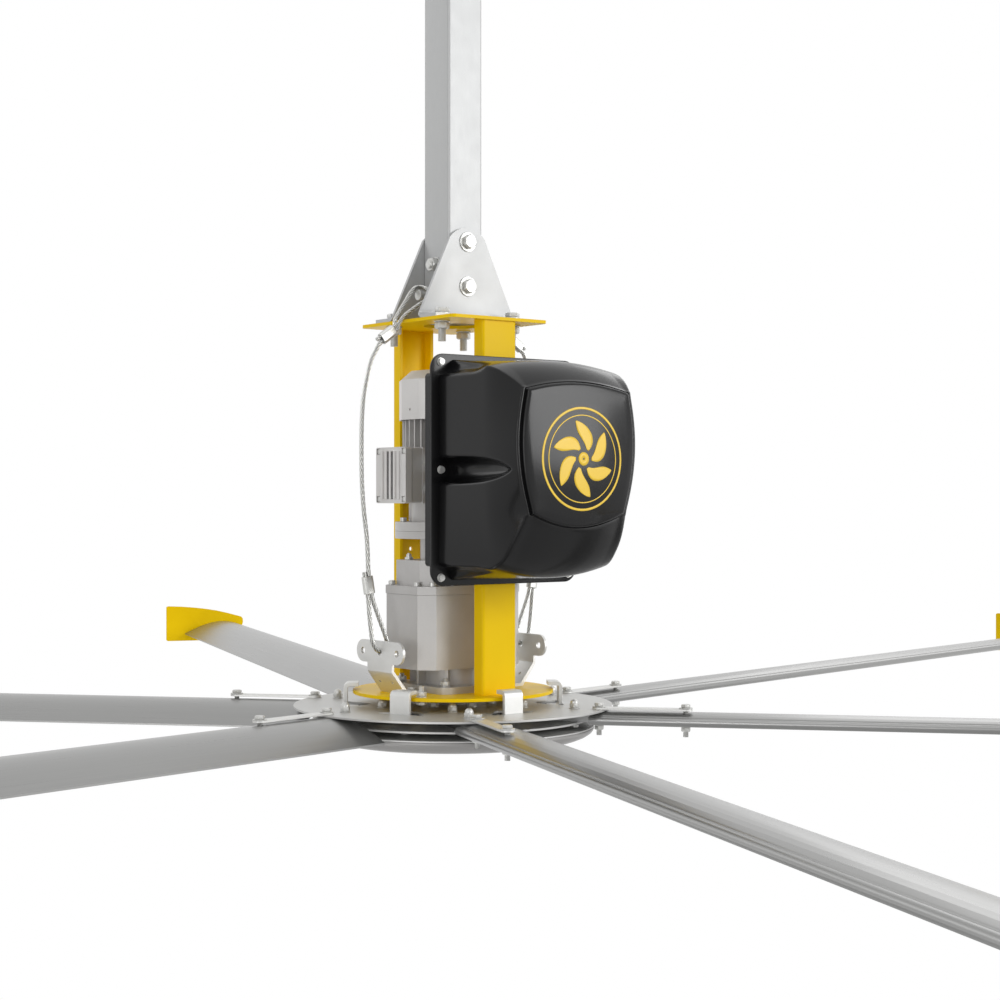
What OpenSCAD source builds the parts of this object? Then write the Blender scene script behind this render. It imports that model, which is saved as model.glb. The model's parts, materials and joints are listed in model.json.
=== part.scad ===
// Large-diameter industrial ceiling fan with six hollow airfoil blades.
// The origin is the middle of the upper yoke's top face; the fan hangs below it along -Z.
// Inside the modules, heights are counted from the top face of the hub plate.

/* [Extension tube] */
// Length of the square tube
tube_length = 610; // [400:10:1200]
// Outer width of the square tube
tube_side = 63.5; // [58:0.5:70]
// Wall of the tube
tube_wall = 3; // [2:0.1:3.8]
// Outer corner radius of the tube
tube_corner_r = 4; // [4:0.5:8]
// Gap between the tube's end and the plate it stands over
tube_rise = 22; // [12:1:30]

/* [Yokes] */
// Sheet thickness of the yoke brackets
yoke_thickness = 5; // [4:0.5:6]
// Width of a bracket at its foot
yoke_base_width = 178; // [160:1:190]
// Width of a bracket at its shoulder
yoke_top_width = 64; // [60:1:68]
// Height of a bracket
yoke_height = 140; // [134:1:150]
// Radius of the rounded top
yoke_top_r = 42; // [38:1:50]
// Length of the flange outwards from the tube
yoke_flange = 46; // [44:1:50]
// Inner radius of the bend
yoke_bend_r = 5; // [3:0.5:7]
// Diameter of the yoke bolts
yoke_bolt_d = 12; // [10:0.5:12.5]
// Outer diameter of the large washers on the ears
ear_washer_d = 30; // [26:1:34]
// Height of the lower tube bolt over the flange
tube_bolt_low = 52; // [50:1:54]
// Distance between the two tube bolts
tube_bolt_pitch = 67; // [64:1:70]
// Height of the rope pin over the flange
rope_pin_height = 38; // [36:1:39]
// How far the rope pin stands out of the tube on each side
rope_pin_reach = 34; // [30:1:40]
// Distance of the flange bolts from the middle along the bracket
flange_bolt_x = 66; // [60:1:72]
// Distance of the flange bolts out from the tube
flange_bolt_out = 30; // [26:1:32]
// Thread that stands out below the flange nuts
flange_bolt_tail = 18; // [6:1:24]

/* [Yellow frame] */
// Width of the top plate along X
top_plate_x = 178; // [170:1:200]
// Length of the top plate along Y
top_plate_y = 238; // [234:1:260]
// Corner radius of the top plate
top_plate_r = 8; // [4:1:30]
// Hole in the middle of the top plate
top_plate_hole_d = 90; // [40:1:96]
// Thickness of the frame's plates
frame_plate = 5; // [4:0.5:7]
// Length of the posts between the plates
post_length = 550.5; // [540:0.5:640]
// Width of a post
post_width = 63.5; // [50:0.5:66]
// Depth of a post's flanges
post_depth = 20; // [12:0.5:21]
// Sheet thickness of the posts
post_wall = 5; // [3:0.5:6]
// Distance from the axis to the outer face of a post
post_face = 115; // [114:0.5:118]
// Radius of the bottom disc
disc_r = 152; // [148:1:156]
// Gap between hub plate and bottom disc
disc_gap = 17.5; // [16.5:0.5:22]
// Hole in the bottom disc round the output shaft
disc_hole_d = 64; // [60:1:80]

/* [Drive housing] */
// Width of the cover's flange
cover_w = 270; // [262:1:280]
// Height of the cover's flange
cover_h = 332; // [326:1:338]
// Corner radius of the flange
cover_corner_r = 22; // [16:1:28]
// Height of the cover's lower edge
cover_bottom = 186; // [184:1:189]
// Thickness of the flange and of the tray
cover_flange = 4; // [3:0.5:5]
// How far the cover reaches out from the posts
cover_reach = 191; // [176:1:200]
// Length of the cover's straight part
cover_straight = 108; // [90:1:114]
// Depth of the tray behind the flange
tray_depth = 11; // [9:0.5:14]
// Height of the tray
tray_h = 276; // [240:1:290]
// Distance from the flange's side to the domed part
cover_inset = 14; // [12:1:18]
// Distance from the flange's top to the domed part
cover_inset_top = 8; // [6:1:12]
// Side draft of the domed part
cover_draft = 4; // [1:0.5:6]
// Width of the front panel at its upper corners
panel_w = 180; // [150:1:190]
// Width of the front panel at its lower corners
panel_low_w = 162; // [140:1:180]
// Height of the front panel at its corners
panel_h = 172; // [150:1:190]
// Height of the front panel's lower corners over the cover's lower edge
panel_rise = 103; // [98:1:106]
// How far the panel's edges bow outwards
panel_bow = 15; // [4:1:16]
// How far the middle of the panel stands out
panel_crown = 6; // [2:1:10]
// Wall of the cover
cover_wall = 3; // [2:0.5:4]
// Radius of a screw recess at the flange
recess_r = 19; // [16:1:21]
// Diameter of the cover screws
cover_screw_d = 6; // [4:0.5:8]
// Width of the drive unit
drive_w = 130; // [100:1:140]
// Depth of the drive unit
drive_d = 80; // [50:1:90]
// Height of the drive unit
drive_h = 210; // [160:1:220]

/* [Motor] */
// Inner radius of the motor housing
motor_bore_r = 58; // [55:0.5:59]
// Wall of the motor housing
motor_wall = 5; // [4:0.5:6]
// Outer radius over the fins
fin_r = 77; // [72:0.5:78]
// Thickness of a fin
fin_t = 2.4; // [1.6:0.1:3]
// Number of fins
fin_count = 36; // [24:2:40]
// Height of the motor flange's underside
motor_bottom = 262; // [258:1:266]
// Thickness of the motor flange
motor_flange_t = 14; // [12:1:18]
// Radius of the motor flange
motor_flange_r = 88; // [86:1:90]
// Height of the fan cowl's lower edge
cowl_bottom = 429; // [426:1:434]
// Height of the cowl's straight part
cowl_straight = 60; // [50:1:66]
// Height of the cowl's slope
cowl_slope = 14; // [10:1:20]
// Radius of the cowl over its corners
cowl_r = 83; // [82:0.5:85]
// Radius of the cowl's flat top
cowl_top_r = 67; // [56:1:72]
// Wall of the cowl
cowl_wall = 2; // [1.5:0.1:3]
// Diameter of the motor shaft
motor_shaft_d = 19; // [16:0.5:20]
// Radius of the rotor core
rotor_core_r = 37; // [30:0.5:38]
// Air gap between rotor and stator
air_gap = 0.6; // [0.4:0.1:1.5]
// Height of the stator core
stator_h = 92; // [70:1:100]

/* [Terminal box] */
// Width of the box along Y
box_w = 77; // [66:1:80]
// Height of the box
box_h = 83; // [80:1:92]
// Distance from the axis to the outer face of the lid
lid_face = 117; // [112:1:124]
// Thickness of the lid
lid_t = 13; // [9:0.5:14]
// Depth of the narrower upper box
box_body = 20; // [16:1:24]
// Step from the lid to the box on each side
box_step = 1; // [0.5:0.5:3]
// Inset of the lid screws
lid_inset = 6; // [5:0.5:9]
// Height of the box's lower edge
box_bottom = 304; // [302:1:310]
// Diameter of the cable gland
gland_d = 24; // [18:0.5:26]

/* [Gear case] */
// Width of the case along X
case_x = 190; // [186:1:200]
// Depth of the case along Y
case_y = 120; // [114:1:150]
// Corner cut of the case
case_cut = 20; // [12:1:24]
// Wall of the case
case_wall = 8; // [6:0.5:8]
// Height of the case floor's underside
case_bottom = 58; // [57:1:62]
// Height of the joint between the halves
case_joint = 168.5; // [167:0.5:172]
// Thickness of the rim of the upper half
case_rim = 12.5; // [12:0.5:16]
// Width of the upper box along X
upper_x = 168; // [160:1:172]
// Depth of the upper box along Y
upper_y = 90; // [88:1:94]
// Corner cut of the upper box
upper_cut = 15; // [10:1:18]
// Height of the upper box's top
upper_top = 219; // [215:1:222]
// Radius of the neck that carries the motor
neck_r = 50; // [48:1:54]
// Side of the square foot
foot_side = 142; // [138:1:146]
// Thickness of the foot
foot_t = 10; // [8:0.5:12]
// Corner radius of the foot
foot_r = 18; // [14:1:22]
// Radius of the neck over the foot
foot_neck_r = 52; // [50:1:54]
// Distance of the foot bolts from the middle, along X and Y
foot_bolt_xy = 56; // [54:0.5:58]

/* [Gears] */
// Teeth of the motor pinion
pinion_teeth = 14; // [14:1:14]
// Teeth of the countershaft gear
wheel_teeth = 50; // [50:1:50]
// Module of the first stage
stage_1_module = 1.5; // [1.5:0.1:1.5]
// Teeth of the countershaft pinion
counter_teeth = 12; // [12:1:12]
// Teeth of the output gear
output_teeth = 36; // [36:1:36]
// Module of the second stage
stage_2_module = 2; // [2:0.1:2]
// Face width of the first stage
stage_1_width = 14; // [10:1:16]
// Face width of the second stage
stage_2_width = 24; // [18:1:26]
// Side play between the teeth
gear_play = 0.3; // [0.2:0.05:0.5]
// Diameter of the output shaft
output_shaft_d = 30; // [26:0.5:32]
// Diameter of the countershaft
counter_shaft_d = 15; // [12:0.5:16]

/* [Hub] */
// Radius of the hub plate
hub_r = 241.5; // [236:0.5:250]
// Thickness of the hub plate
hub_plate_t = 3; // [2:0.5:4]
// Radius of the lower hub plate
lower_plate_r = 206; // [200:0.5:210]
// Thickness of the lower hub plate
lower_plate_t = 3; // [2:0.5:4]
// Gap between the lower hub plate and the cap plate
cap_gap = 9; // [7:0.5:10]
// Radius of the cap
cap_r = 214; // [208:0.5:215]
// Depth of the cap
cap_depth = 24; // [16:0.5:28]
// Wall of the cap and its plate
cap_wall = 2.5; // [1.5:0.1:3]
// Radius of the hub boss
boss_r = 72; // [70:1:76]
// Radius of the boss that shows over the hub plate
boss_top_r = 26; // [24:0.5:30]
// Radius of the boss bolt circle
boss_bolt_r = 57; // [55:0.5:60]

/* [Blades] */
// Number of blades
blade_count = 6; // [3:1:6]
// Radius from the axis to the blade tips
tip_r = 2060; // [1500:1:2700]
// Chord of the airfoil from nose to trailing edge
chord = 136; // [130:1:150]
// Height of the airfoil section
section_h = 32.5; // [32:0.5:36]
// Wall over and under the spar
skin_t = 3; // [2.6:0.1:3.4]
// Distance of the blade's bolt line from the axis
bolt_line = 37; // [34:0.5:40]
// Distance from the nose to the bolt line
nose_to_bolts = 30; // [28:0.5:33]
// Where the airfoil begins along its line
root_s = 217; // [216:0.5:220]
// Width of a spar
spar_w = 24; // [20:0.5:25]
// Where a spar begins along its line
spar_start = 82; // [80:1:90]
// Length of a spar
spar_length = 330; // [310:1:420]
// Diameter of the hub and blade bolts
blade_bolt_d = 8; // [6:0.5:10]
// Place of the inner hub bolt on the spar
hub_bolt_1 = 115; // [110:1:118]
// Place of the outer hub bolt on the spar
hub_bolt_2 = 192; // [188:1:196]
// Place of the inner blade bolt
blade_bolt_1 = 229; // [228:1:231]
// Place of the outer blade bolt
blade_bolt_2 = 357; // [340:1:370]
// Outer diameter of the blade washers
blade_washer_d = 20; // [16:0.5:22]
// Width of a retainer bar
retainer_w = 20; // [16:0.5:24]
// Thickness of a retainer bar
retainer_t = 3; // [2:0.5:4]
// First blade's angle from +X
blade_angle = 11; // [8:1:13]
// Length of a winglet along the chord
winglet_l = 197; // [180:1:220]
// Height of a winglet
winglet_h = 90; // [80:1:100]
// Thickness of a winglet
winglet_t = 5; // [3:0.5:8]
// How far a winglet stands out in front of the nose
winglet_front = 14; // [8:1:24]
// How far a winglet reaches below the trailing edge
winglet_below = 12; // [6:1:20]

/* [Safety clips] */
// Radius of the outer face of a clip
clip_r = 165.5; // [163:0.5:168]
// Width of a clip
clip_w = 32; // [24:1:36]
// Thickness of a clip
clip_t = 6; // [4:0.5:7]
// Length of a clip's arms
clip_arm = 22; // [16:1:22]
// Gap between the disc and the clip's arm
clip_gap = 5; // [3:0.5:8]
// First clip's angle from +X
clip_angle = 25.6; // [23:0.1:27]
// Outer width of the window that a clip passes through
window_w = 74; // [60:1:76]
// Depth of the window
window_d = 42; // [30:1:44]
// Corner radius of the window
window_r = 5; // [3:0.5:8]

/* [Safety ropes] */
// Diameter of the wire rope
rope_d = 6.4; // [6.4:0.1:6.4]
// Length of a ferrule
ferrule_l = 26; // [20:1:28]
// Wall of a ferrule
ferrule_wall = 2; // [1.5:0.1:3]
// Distance of the rope bracket's plate from the axis
bracket_x = 133; // [133:1:133]
// Sheet thickness of the rope bracket
bracket_t = 4; // [3:0.5:4.5]
// Length of the rope bracket's plate
bracket_l = 121; // [116:1:126]
// Height of the rope bracket's plate
bracket_h = 43.5; // [41:0.5:46]
// Width of the rope bracket's tongue
bracket_tongue_w = 64; // [56:1:66]
// Height of the bend over the hub plate
bracket_bend = 57.5; // [57:0.5:58]
// Diameter of the bracket's holes
bracket_hole_d = 10; // [9.5:0.1:11]

/* [Hidden] */
$fn = 48;
// Overrun of every cut
cut = 1;
// Gap between separate pieces that rest on each other
seat_gap = 0.15;
// Radial clearance of shafts, bolts and ropes in their holes
hole_clearance = 0.5;
// Radial gap of nuts and washers on their threads
thread_gap = 0.15;
// Running clearance of parts that turn in each other
running_gap = 0.3;
// Fit of a shaft in its bearing
bearing_fit = 0.05;
// Proportions of fasteners to their thread diameter
across_flats_share = 1.6;
head_height_share = 0.6;
nut_height_share = 0.85;
washer_height_share = 0.15;
washer_width_share = 2;
dome_share = 0.6;

disc_top = disc_gap + frame_plate;
top_plate_top = disc_top + post_length + frame_plate;
tube_bottom = top_plate_top + tube_rise;
tube_top = tube_bottom + tube_length;
drop = tube_top + tube_rise;

cover_back = post_face + tray_depth;
cover_front = post_face + cover_reach;
cover_middle = cover_bottom + cover_h / 2;
cover_screw_inset = 16.5;
cover_screw_edge = 12;
cover_screw_x = cover_w / 2 - cover_screw_inset;

motor_top_of_flange = motor_bottom + motor_flange_t;
motor_outer_r = motor_bore_r + motor_wall;
stator_bottom_share = 0.2;
motor_inner_h = cowl_bottom - motor_top_of_flange;
stator_z = motor_top_of_flange + stator_bottom_share * motor_inner_h;

gear_centre = stage_1_module * (pinion_teeth + wheel_teeth) / 2;
bearing_w = 12;
bearing_wall = 10;
floor_t = 10;
output_bearing_r = output_shaft_d / 2 + bearing_wall + bearing_fit;
counter_bearing_r = counter_shaft_d / 2 + bearing_wall + bearing_fit;
motor_bearing_r = motor_shaft_d / 2 + bearing_wall + bearing_fit;
case_floor = case_bottom + floor_t;
output_gear_z = case_floor + bearing_w;
stage_1_z = case_joint - stage_1_width - case_rim / 2;
output_shaft_top = output_gear_z + stage_2_width + bearing_w + floor_t;

stack_share = 0.57;
skin_top = hub_plate_t + seat_gap;
skin_bottom = skin_top + section_h * stack_share;
spar_top = skin_top + skin_t + seat_gap;
spar_bottom = skin_bottom - skin_t - seat_gap;
cap_plate_z = spar_bottom + lower_plate_t + cap_gap;

// Colours of the photographed finishes
yellow = [0.91, 0.76, 0.06];
silver = [0.80, 0.80, 0.80];
bright = [0.90, 0.90, 0.90];
black = [0.13, 0.13, 0.13];
cast = [0.61, 0.60, 0.59];
dark = [0.35, 0.35, 0.36];

module up(z) {
  translate([0, 0, z]) children();
}

// Moves a module from hub heights to the hanging frame
module hang() {
  up(-drop) children();
}

// Flat plate with rounded corners, standing on z = 0
module slab(x, y, r, h) {
  linear_extrude(h) slab_outline(x, y, r);
}

module slab_outline(x, y, r) {
  square([x - 2 * r, y], center = true);
  square([x, y - 2 * r], center = true);
  for (i = [-1, 1]) {
    for (j = [-1, 1]) {
      translate([i * (x / 2 - r), j * (y / 2 - r)]) circle(r);
    }
  }
}

// Rectangle with its four corners cut at 45 degrees
module cut_outline(x, y, c) {
  polygon([
    [-x / 2, -y / 2 + c], [-x / 2 + c, -y / 2], [x / 2 - c, -y / 2], [x / 2, -y / 2 + c],
    [x / 2, y / 2 - c], [x / 2 - c, y / 2], [-x / 2 + c, y / 2], [-x / 2, y / 2 - c]
  ]);
}

module hexagon(af, h) {
  cylinder(h = h, d = af / cos(30), $fn = 6);
}

module ring(outer_r, inner_r, h) {
  difference() {
    cylinder(h = h, r = outer_r);
    up(-cut) cylinder(h = h + 2 * cut, r = inner_r);
  }
}

function washer_h(d) = d * washer_height_share;
function head_h(d) = d * head_height_share;
function nut_h(d) = d * nut_height_share;
function flats(d) = d * across_flats_share;

module washer(d, outer_d) {
  ring(outer_d / 2, d / 2 + thread_gap, washer_h(d));
}

module nut(d) {
  difference() {
    hexagon(flats(d), nut_h(d));
    up(-cut) cylinder(h = nut_h(d) + 2 * cut, r = d / 2 + thread_gap);
  }
}

module dome_nut(d) {
  difference() {
    union() {
      hexagon(flats(d), nut_h(d));
      up(nut_h(d)) intersection() {
        sphere(d = flats(d));
        up(-cut) cylinder(h = flats(d), r = flats(d));
      }
    }
    up(-cut) cylinder(h = nut_h(d) + cut + seat_gap, r = d / 2 + thread_gap);
  }
}

// Hexagon bolt from above through a grip, with washers and a nut below; z = 0 is the top seat
module bolt_set(d, washer_d, grip, tail) {
  low = grip + seat_gap + washer_h(d);
  up(seat_gap) washer(d, washer_d);
  up(2 * seat_gap + washer_h(d)) hexagon(flats(d), head_h(d));
  up(-low - seat_gap - nut_h(d) - tail) {
    cylinder(h = low + nut_h(d) + tail + 2 * seat_gap + washer_h(d) + cut, d = d);
  }
  up(-low) washer(d, washer_d);
  up(-low - seat_gap - nut_h(d)) nut(d);
}

// Bolt from below with a dome nut on top; z = 0 is the top seat
module dome_set(d, washer_d, grip) {
  up(seat_gap) washer(d, washer_d);
  up(2 * seat_gap + washer_h(d)) dome_nut(d);
  up(-grip - seat_gap) {
    cylinder(h = grip + 3 * seat_gap + washer_h(d) + nut_h(d), d = d);
  }
  up(-grip - seat_gap - head_h(d)) hexagon(flats(d), head_h(d));
}

// Cylinder-head screw, head above z = 0
module cap_screw(d, grip) {
  up(seat_gap) cylinder(h = d, d = flats(d));
  up(-grip) cylinder(h = grip + 2 * seat_gap, d = d);
}

// Yoke bracket on the -Y side of the tube; z = 0 is the flange's seat
module yoke_profile() {
  bend = yoke_bend_r + yoke_thickness;
  difference() {
    union() {
      square([yoke_thickness, yoke_height]);
      square([yoke_flange, yoke_thickness]);
      difference() {
        square([bend, bend]);
        translate([bend, bend]) circle(yoke_bend_r);
      }
    }
    difference() {
      translate([-cut, -cut]) square([bend + cut, bend + cut]);
      translate([bend, bend]) circle(bend);
      translate([bend, 0]) square([bend, bend]);
      translate([0, bend]) square([bend, bend]);
    }
  }
}

module yoke_outline() {
  centre = yoke_height - yoke_top_r;
  half = yoke_top_width / 2;
  shoulder = centre + sqrt(yoke_top_r * yoke_top_r - half * half);
  polygon([
    [-yoke_base_width / 2, 0], [yoke_base_width / 2, 0],
    [yoke_base_width / 2, yoke_thickness], [half, shoulder],
    [-half, shoulder], [-yoke_base_width / 2, yoke_thickness]
  ]);
  intersection() {
    translate([0, centre]) circle(yoke_top_r);
    translate([-half, shoulder - cut]) square([2 * half, yoke_top_r]);
  }
}

module yoke_bracket(gap) {
  face = tube_side / 2;
  difference() {
    intersection() {
      translate([yoke_base_width / 2, -face, 0]) rotate([90, 0, -90])
        linear_extrude(yoke_base_width) yoke_profile();
      union() {
        translate([0, -face + cut, 0]) rotate([90, 0, 0])
          linear_extrude(yoke_thickness + 2 * cut) yoke_outline();
        translate([-yoke_base_width / 2, -face - yoke_flange - cut, -cut])
          cube([yoke_base_width, yoke_flange + cut - yoke_thickness,
            yoke_thickness + yoke_bend_r + cut]);
        translate([-yoke_base_width / 2, -face - yoke_flange, 0])
          cube([yoke_base_width, yoke_flange, yoke_thickness]);
      }
    }
    for (h = [tube_bolt_low, tube_bolt_low + tube_bolt_pitch]) {
      translate([0, -face + cut, h]) rotate([90, 0, 0])
        cylinder(h = yoke_thickness + 2 * cut, r = yoke_bolt_d / 2 + hole_clearance);
    }
    for (x = [-flange_bolt_x, flange_bolt_x]) {
      translate([x, -face - flange_bolt_out, -cut])
        cylinder(h = yoke_thickness + 2 * cut, r = yoke_bolt_d / 2 + gap);
    }
  }
}

module yoke_pair(gap) {
  yoke_bracket(gap);
  rotate([0, 0, 180]) yoke_bracket(gap);
}

module upper_yoke() {
  color(silver) rotate([180, 0, 0]) yoke_pair(2 * hole_clearance);
}

module lower_yoke() {
  color(silver) hang() up(top_plate_top) yoke_pair(hole_clearance);
}

// Heights of the cross holes in one tube end, counted from the yoke's seat
cross_height = tube_bolt_low + tube_bolt_pitch / 2;

module tube_end_holes() {
  for (h = [tube_bolt_low, tube_bolt_low + tube_bolt_pitch]) {
    translate([0, tube_side, h]) rotate([90, 0, 0])
      cylinder(h = 2 * tube_side, r = yoke_bolt_d / 2 + hole_clearance);
  }
  for (h = [cross_height, rope_pin_height]) {
    translate([-tube_side, 0, h]) rotate([0, 90, 0])
      cylinder(h = 2 * tube_side, r = yoke_bolt_d / 2 + hole_clearance);
  }
}

module extension_tube() {
  color(silver) difference() {
    up(-tube_rise - tube_length)
      slab(tube_side, tube_side, tube_corner_r, tube_length);
    up(-tube_rise - tube_length - cut)
      slab(tube_side - 2 * tube_wall, tube_side - 2 * tube_wall,
        tube_corner_r - tube_wall, tube_length + 2 * cut);
    rotate([180, 0, 0]) tube_end_holes();
    up(top_plate_top - drop) tube_end_holes();
  }
}

module tube_end_bolts() {
  outer = tube_side / 2 + yoke_thickness;
  for (h = [tube_bolt_low, tube_bolt_low + tube_bolt_pitch]) {
    translate([0, -outer, h]) rotate([90, 0, 0])
      bolt_set(yoke_bolt_d, ear_washer_d, 2 * outer, yoke_bolt_d / 4);
  }
  translate([tube_side / 2, 0, cross_height]) rotate([0, 90, 0])
    bolt_set(yoke_bolt_d, yoke_bolt_d * washer_width_share, tube_side, yoke_bolt_d / 4);
}

module tube_bolts() {
  color(bright) {
    rotate([180, 0, 0]) rotate([0, 0, 180]) tube_end_bolts();
    hang() up(top_plate_top) tube_end_bolts();
  }
}

// Pin across the tube with a collar at each end that keeps the rope loops on
pin_collar_share = 1.3;
pin_collar_t_share = 0.25;

module rope_pin() {
  reach = tube_side / 2 + rope_pin_reach;
  collar = yoke_bolt_d * pin_collar_t_share;
  rotate([0, 90, 0]) {
    up(-reach) cylinder(h = 2 * reach, d = yoke_bolt_d);
    for (z = [-reach, reach - collar]) {
      up(z) cylinder(h = collar, d = yoke_bolt_d * pin_collar_share);
    }
  }
}

module rope_pins() {
  color(bright) hang() up(top_plate_top + rope_pin_height) rope_pin();
}

module plate_bolts() {
  color(bright) hang() {
    for (x = [-flange_bolt_x, flange_bolt_x]) {
      for (side = [-1, 1]) {
        translate([x, side * (tube_side / 2 + flange_bolt_out),
          top_plate_top + yoke_thickness])
          bolt_set(yoke_bolt_d, yoke_bolt_d * washer_width_share,
            yoke_thickness + frame_plate, flange_bolt_tail);
      }
    }
  }
}

module frame_top_plate() {
  color(yellow) hang() up(top_plate_top - frame_plate) difference() {
    slab(top_plate_x, top_plate_y, top_plate_r, frame_plate);
    up(-cut) cylinder(h = frame_plate + 2 * cut, d = top_plate_hole_d);
    for (x = [-flange_bolt_x, flange_bolt_x]) {
      for (side = [-1, 1]) {
        translate([x, side * (tube_side / 2 + flange_bolt_out), -cut])
          cylinder(h = frame_plate + 2 * cut, r = yoke_bolt_d / 2 + hole_clearance);
      }
    }
  }
}

// Channel post on the -Y side, open towards the axis
module frame_post() {
  inner = post_width - 2 * post_wall;
  edge_r = post_wall;
  difference() {
    linear_extrude(post_length) difference() {
      union() {
        translate([-post_width / 2, -post_face + edge_r])
          square([post_width, post_depth - edge_r]);
        translate([-post_width / 2 + edge_r, -post_face])
          square([post_width - 2 * edge_r, post_wall]);
        for (x = [-1, 1]) {
          translate([x * (post_width / 2 - edge_r), -post_face + edge_r])
            circle(edge_r);
        }
      }
      translate([-inner / 2, -post_face + post_wall])
        square([inner, post_depth]);
    }
    for (z = tray_bolt_heights) {
      translate([0, -post_face - cut, z - disc_top]) rotate([-90, 0, 0])
        cylinder(h = post_wall + 2 * cut, r = cover_screw_d / 2 + hole_clearance);
    }
  }
}

tray_bolt_share = 0.36;
tray_bolt_heights = [cover_middle - cover_h * tray_bolt_share,
  cover_middle + cover_h * tray_bolt_share];

module frame_posts() {
  color(yellow) hang() up(disc_top) {
    frame_post();
    rotate([0, 0, 180]) frame_post();
  }
}

// Bolt near the rim of the disc
rim_bolt_share = 0.885;
rim_bolt_angles = [213.5];

module frame_disc() {
  color(yellow) hang() up(disc_gap) difference() {
    cylinder(h = frame_plate, r = disc_r, $fn = 96);
    up(-cut) cylinder(h = frame_plate + 2 * cut, d = disc_hole_d);
    for (x = [-foot_bolt_xy, foot_bolt_xy]) {
      for (y = [-foot_bolt_xy, foot_bolt_xy]) {
        translate([x, y, -cut]) cylinder(h = frame_plate + 2 * cut,
          r = blade_bolt_d / 2 + hole_clearance);
      }
    }
    for (a = rim_bolt_angles) {
      rotate([0, 0, a]) translate([disc_r * rim_bolt_share, 0, -cut])
        cylinder(h = frame_plate + 2 * cut, r = blade_bolt_d / 2 + hole_clearance);
    }
    for (side = [-1, 1]) {
      for (y = [-1, 1]) {
        translate([side * bracket_bolt_x, y * bracket_bolt_y, -cut])
          cylinder(h = frame_plate + 2 * cut, r = bracket_screw_d / 2 + hole_clearance);
      }
    }
  }
}

cover_screw_z = [cover_bottom + cover_screw_edge, cover_middle,
  cover_bottom + cover_h - cover_screw_edge];

module cover_plane(y) {
  translate([0, -y, cover_middle]) rotate([90, 0, 0]) children();
}

module cover_screw_places() {
  for (x = [-1, 1]) {
    for (z = cover_screw_z) {
      translate([x * cover_screw_x, z - cover_middle]) children();
    }
  }
}

tray_corner_r = 6;

module drive_tray() {
  color(black) hang() difference() {
    cover_plane(post_face) slab(cover_w, tray_h, tray_corner_r, tray_depth - seat_gap);
    cover_plane(post_face + cover_flange)
      slab(cover_w - 2 * cover_flange, tray_h - 2 * cover_flange,
        tray_corner_r - cover_flange, tray_depth);
    for (z = tray_bolt_heights) {
      translate([0, -post_face + cut, z]) rotate([90, 0, 0])
        cylinder(h = cover_flange + 2 * cut, r = cover_screw_d / 2 + hole_clearance);
    }
  }
}

drive_seat = post_face + cover_flange;
heat_sink_share = 0.3;
drive_fin_count = 12;
drive_corner_share = 0.06;

module drive_unit() {
  sink = drive_d * heat_sink_share;
  pitch = drive_w / drive_fin_count;
  color(dark) hang() {
    cover_plane(drive_seat + sink)
      slab(drive_w, drive_h, drive_w * drive_corner_share, drive_d - sink);
    for (i = [0:drive_fin_count - 1]) {
      translate([-drive_w / 2 + i * pitch, -drive_seat - sink - seat_gap,
        cover_middle - drive_h / 2])
        cube([pitch / 2, sink + seat_gap, drive_h]);
    }
    for (z = tray_bolt_heights) {
      translate([0, -drive_seat, z]) rotate([90, 0, 0])
        hexagon(flats(cover_screw_d), nut_h(cover_screw_d));
      translate([0, -post_face + post_wall, z]) rotate([90, 0, 0])
        cylinder(h = post_wall + cover_flange + cut, d = cover_screw_d);
      translate([0, -post_face + post_wall + head_h(cover_screw_d), z])
        rotate([90, 0, 0]) hexagon(flats(cover_screw_d), head_h(cover_screw_d));
    }
  }
}

// Outline of the front panel: four corners joined by bowed edges
panel_steps = 6;

function bow(a, b, out) = [for (i = [0:panel_steps - 1]) let (t = i / panel_steps)
  a + (b - a) * t + out * (4 * t * (1 - t))];

module panel_outline(inset) {
  low = cover_bottom + panel_rise + inset - cover_middle;
  high = low + panel_h - 2 * inset;
  top = panel_w / 2 - inset;
  base = panel_low_w / 2 - inset;
  side = panel_bow;
  up = panel_bow * bow_up_share;
  down = panel_bow * bow_down_share;
  polygon(concat(
    bow([base, low], [top, high], [side, 0]), bow([top, high], [-top, high], [0, up]),
    bow([-top, high], [-base, low], [-side, 0]), bow([-base, low], [base, low], [0, -down])));
}

bow_up_share = 0.75;
bow_down_share = 1.2;

// Closed outer shape of the dome, shrunk by a wall
module dome_body(shrink) {
  w = cover_w - 2 * cover_inset - 2 * shrink;
  h = cover_h - 2 * cover_inset_top - 2 * shrink;
  front = cover_reach - tray_depth - shrink;
  hull() {
    slab(w, h, cover_corner_r, cover_flange);
    slab(w - 2 * cover_draft, h - 2 * cover_draft, cover_corner_r - cover_draft,
      cover_straight - shrink);
    linear_extrude(front - panel_crown) panel_outline(shrink);
    linear_extrude(front) panel_outline(shrink + panel_inset);
  }
}

panel_inset = 45;
corner_recess_share = 0.96;
middle_recess_share = 1.3;

// Hollows that run from the screws along the cover's side and end in a point
module recess(grow, share, tip) {
  cylinder(h = cover_straight * share, r1 = recess_r + grow, r2 = tip + grow);
}

corner_recess_tip = 4;
middle_recess_tip = 7;

module recesses(grow) {
  for (x = [-1, 1]) {
    for (z = [cover_screw_z[0], cover_screw_z[2]]) {
      translate([x * cover_screw_x, z - cover_middle, 0])
        recess(grow, corner_recess_share, corner_recess_tip);
    }
    translate([x * cover_screw_x, cover_screw_z[1] - cover_middle, 0])
      recess(grow, middle_recess_share, middle_recess_tip);
  }
}

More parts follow.
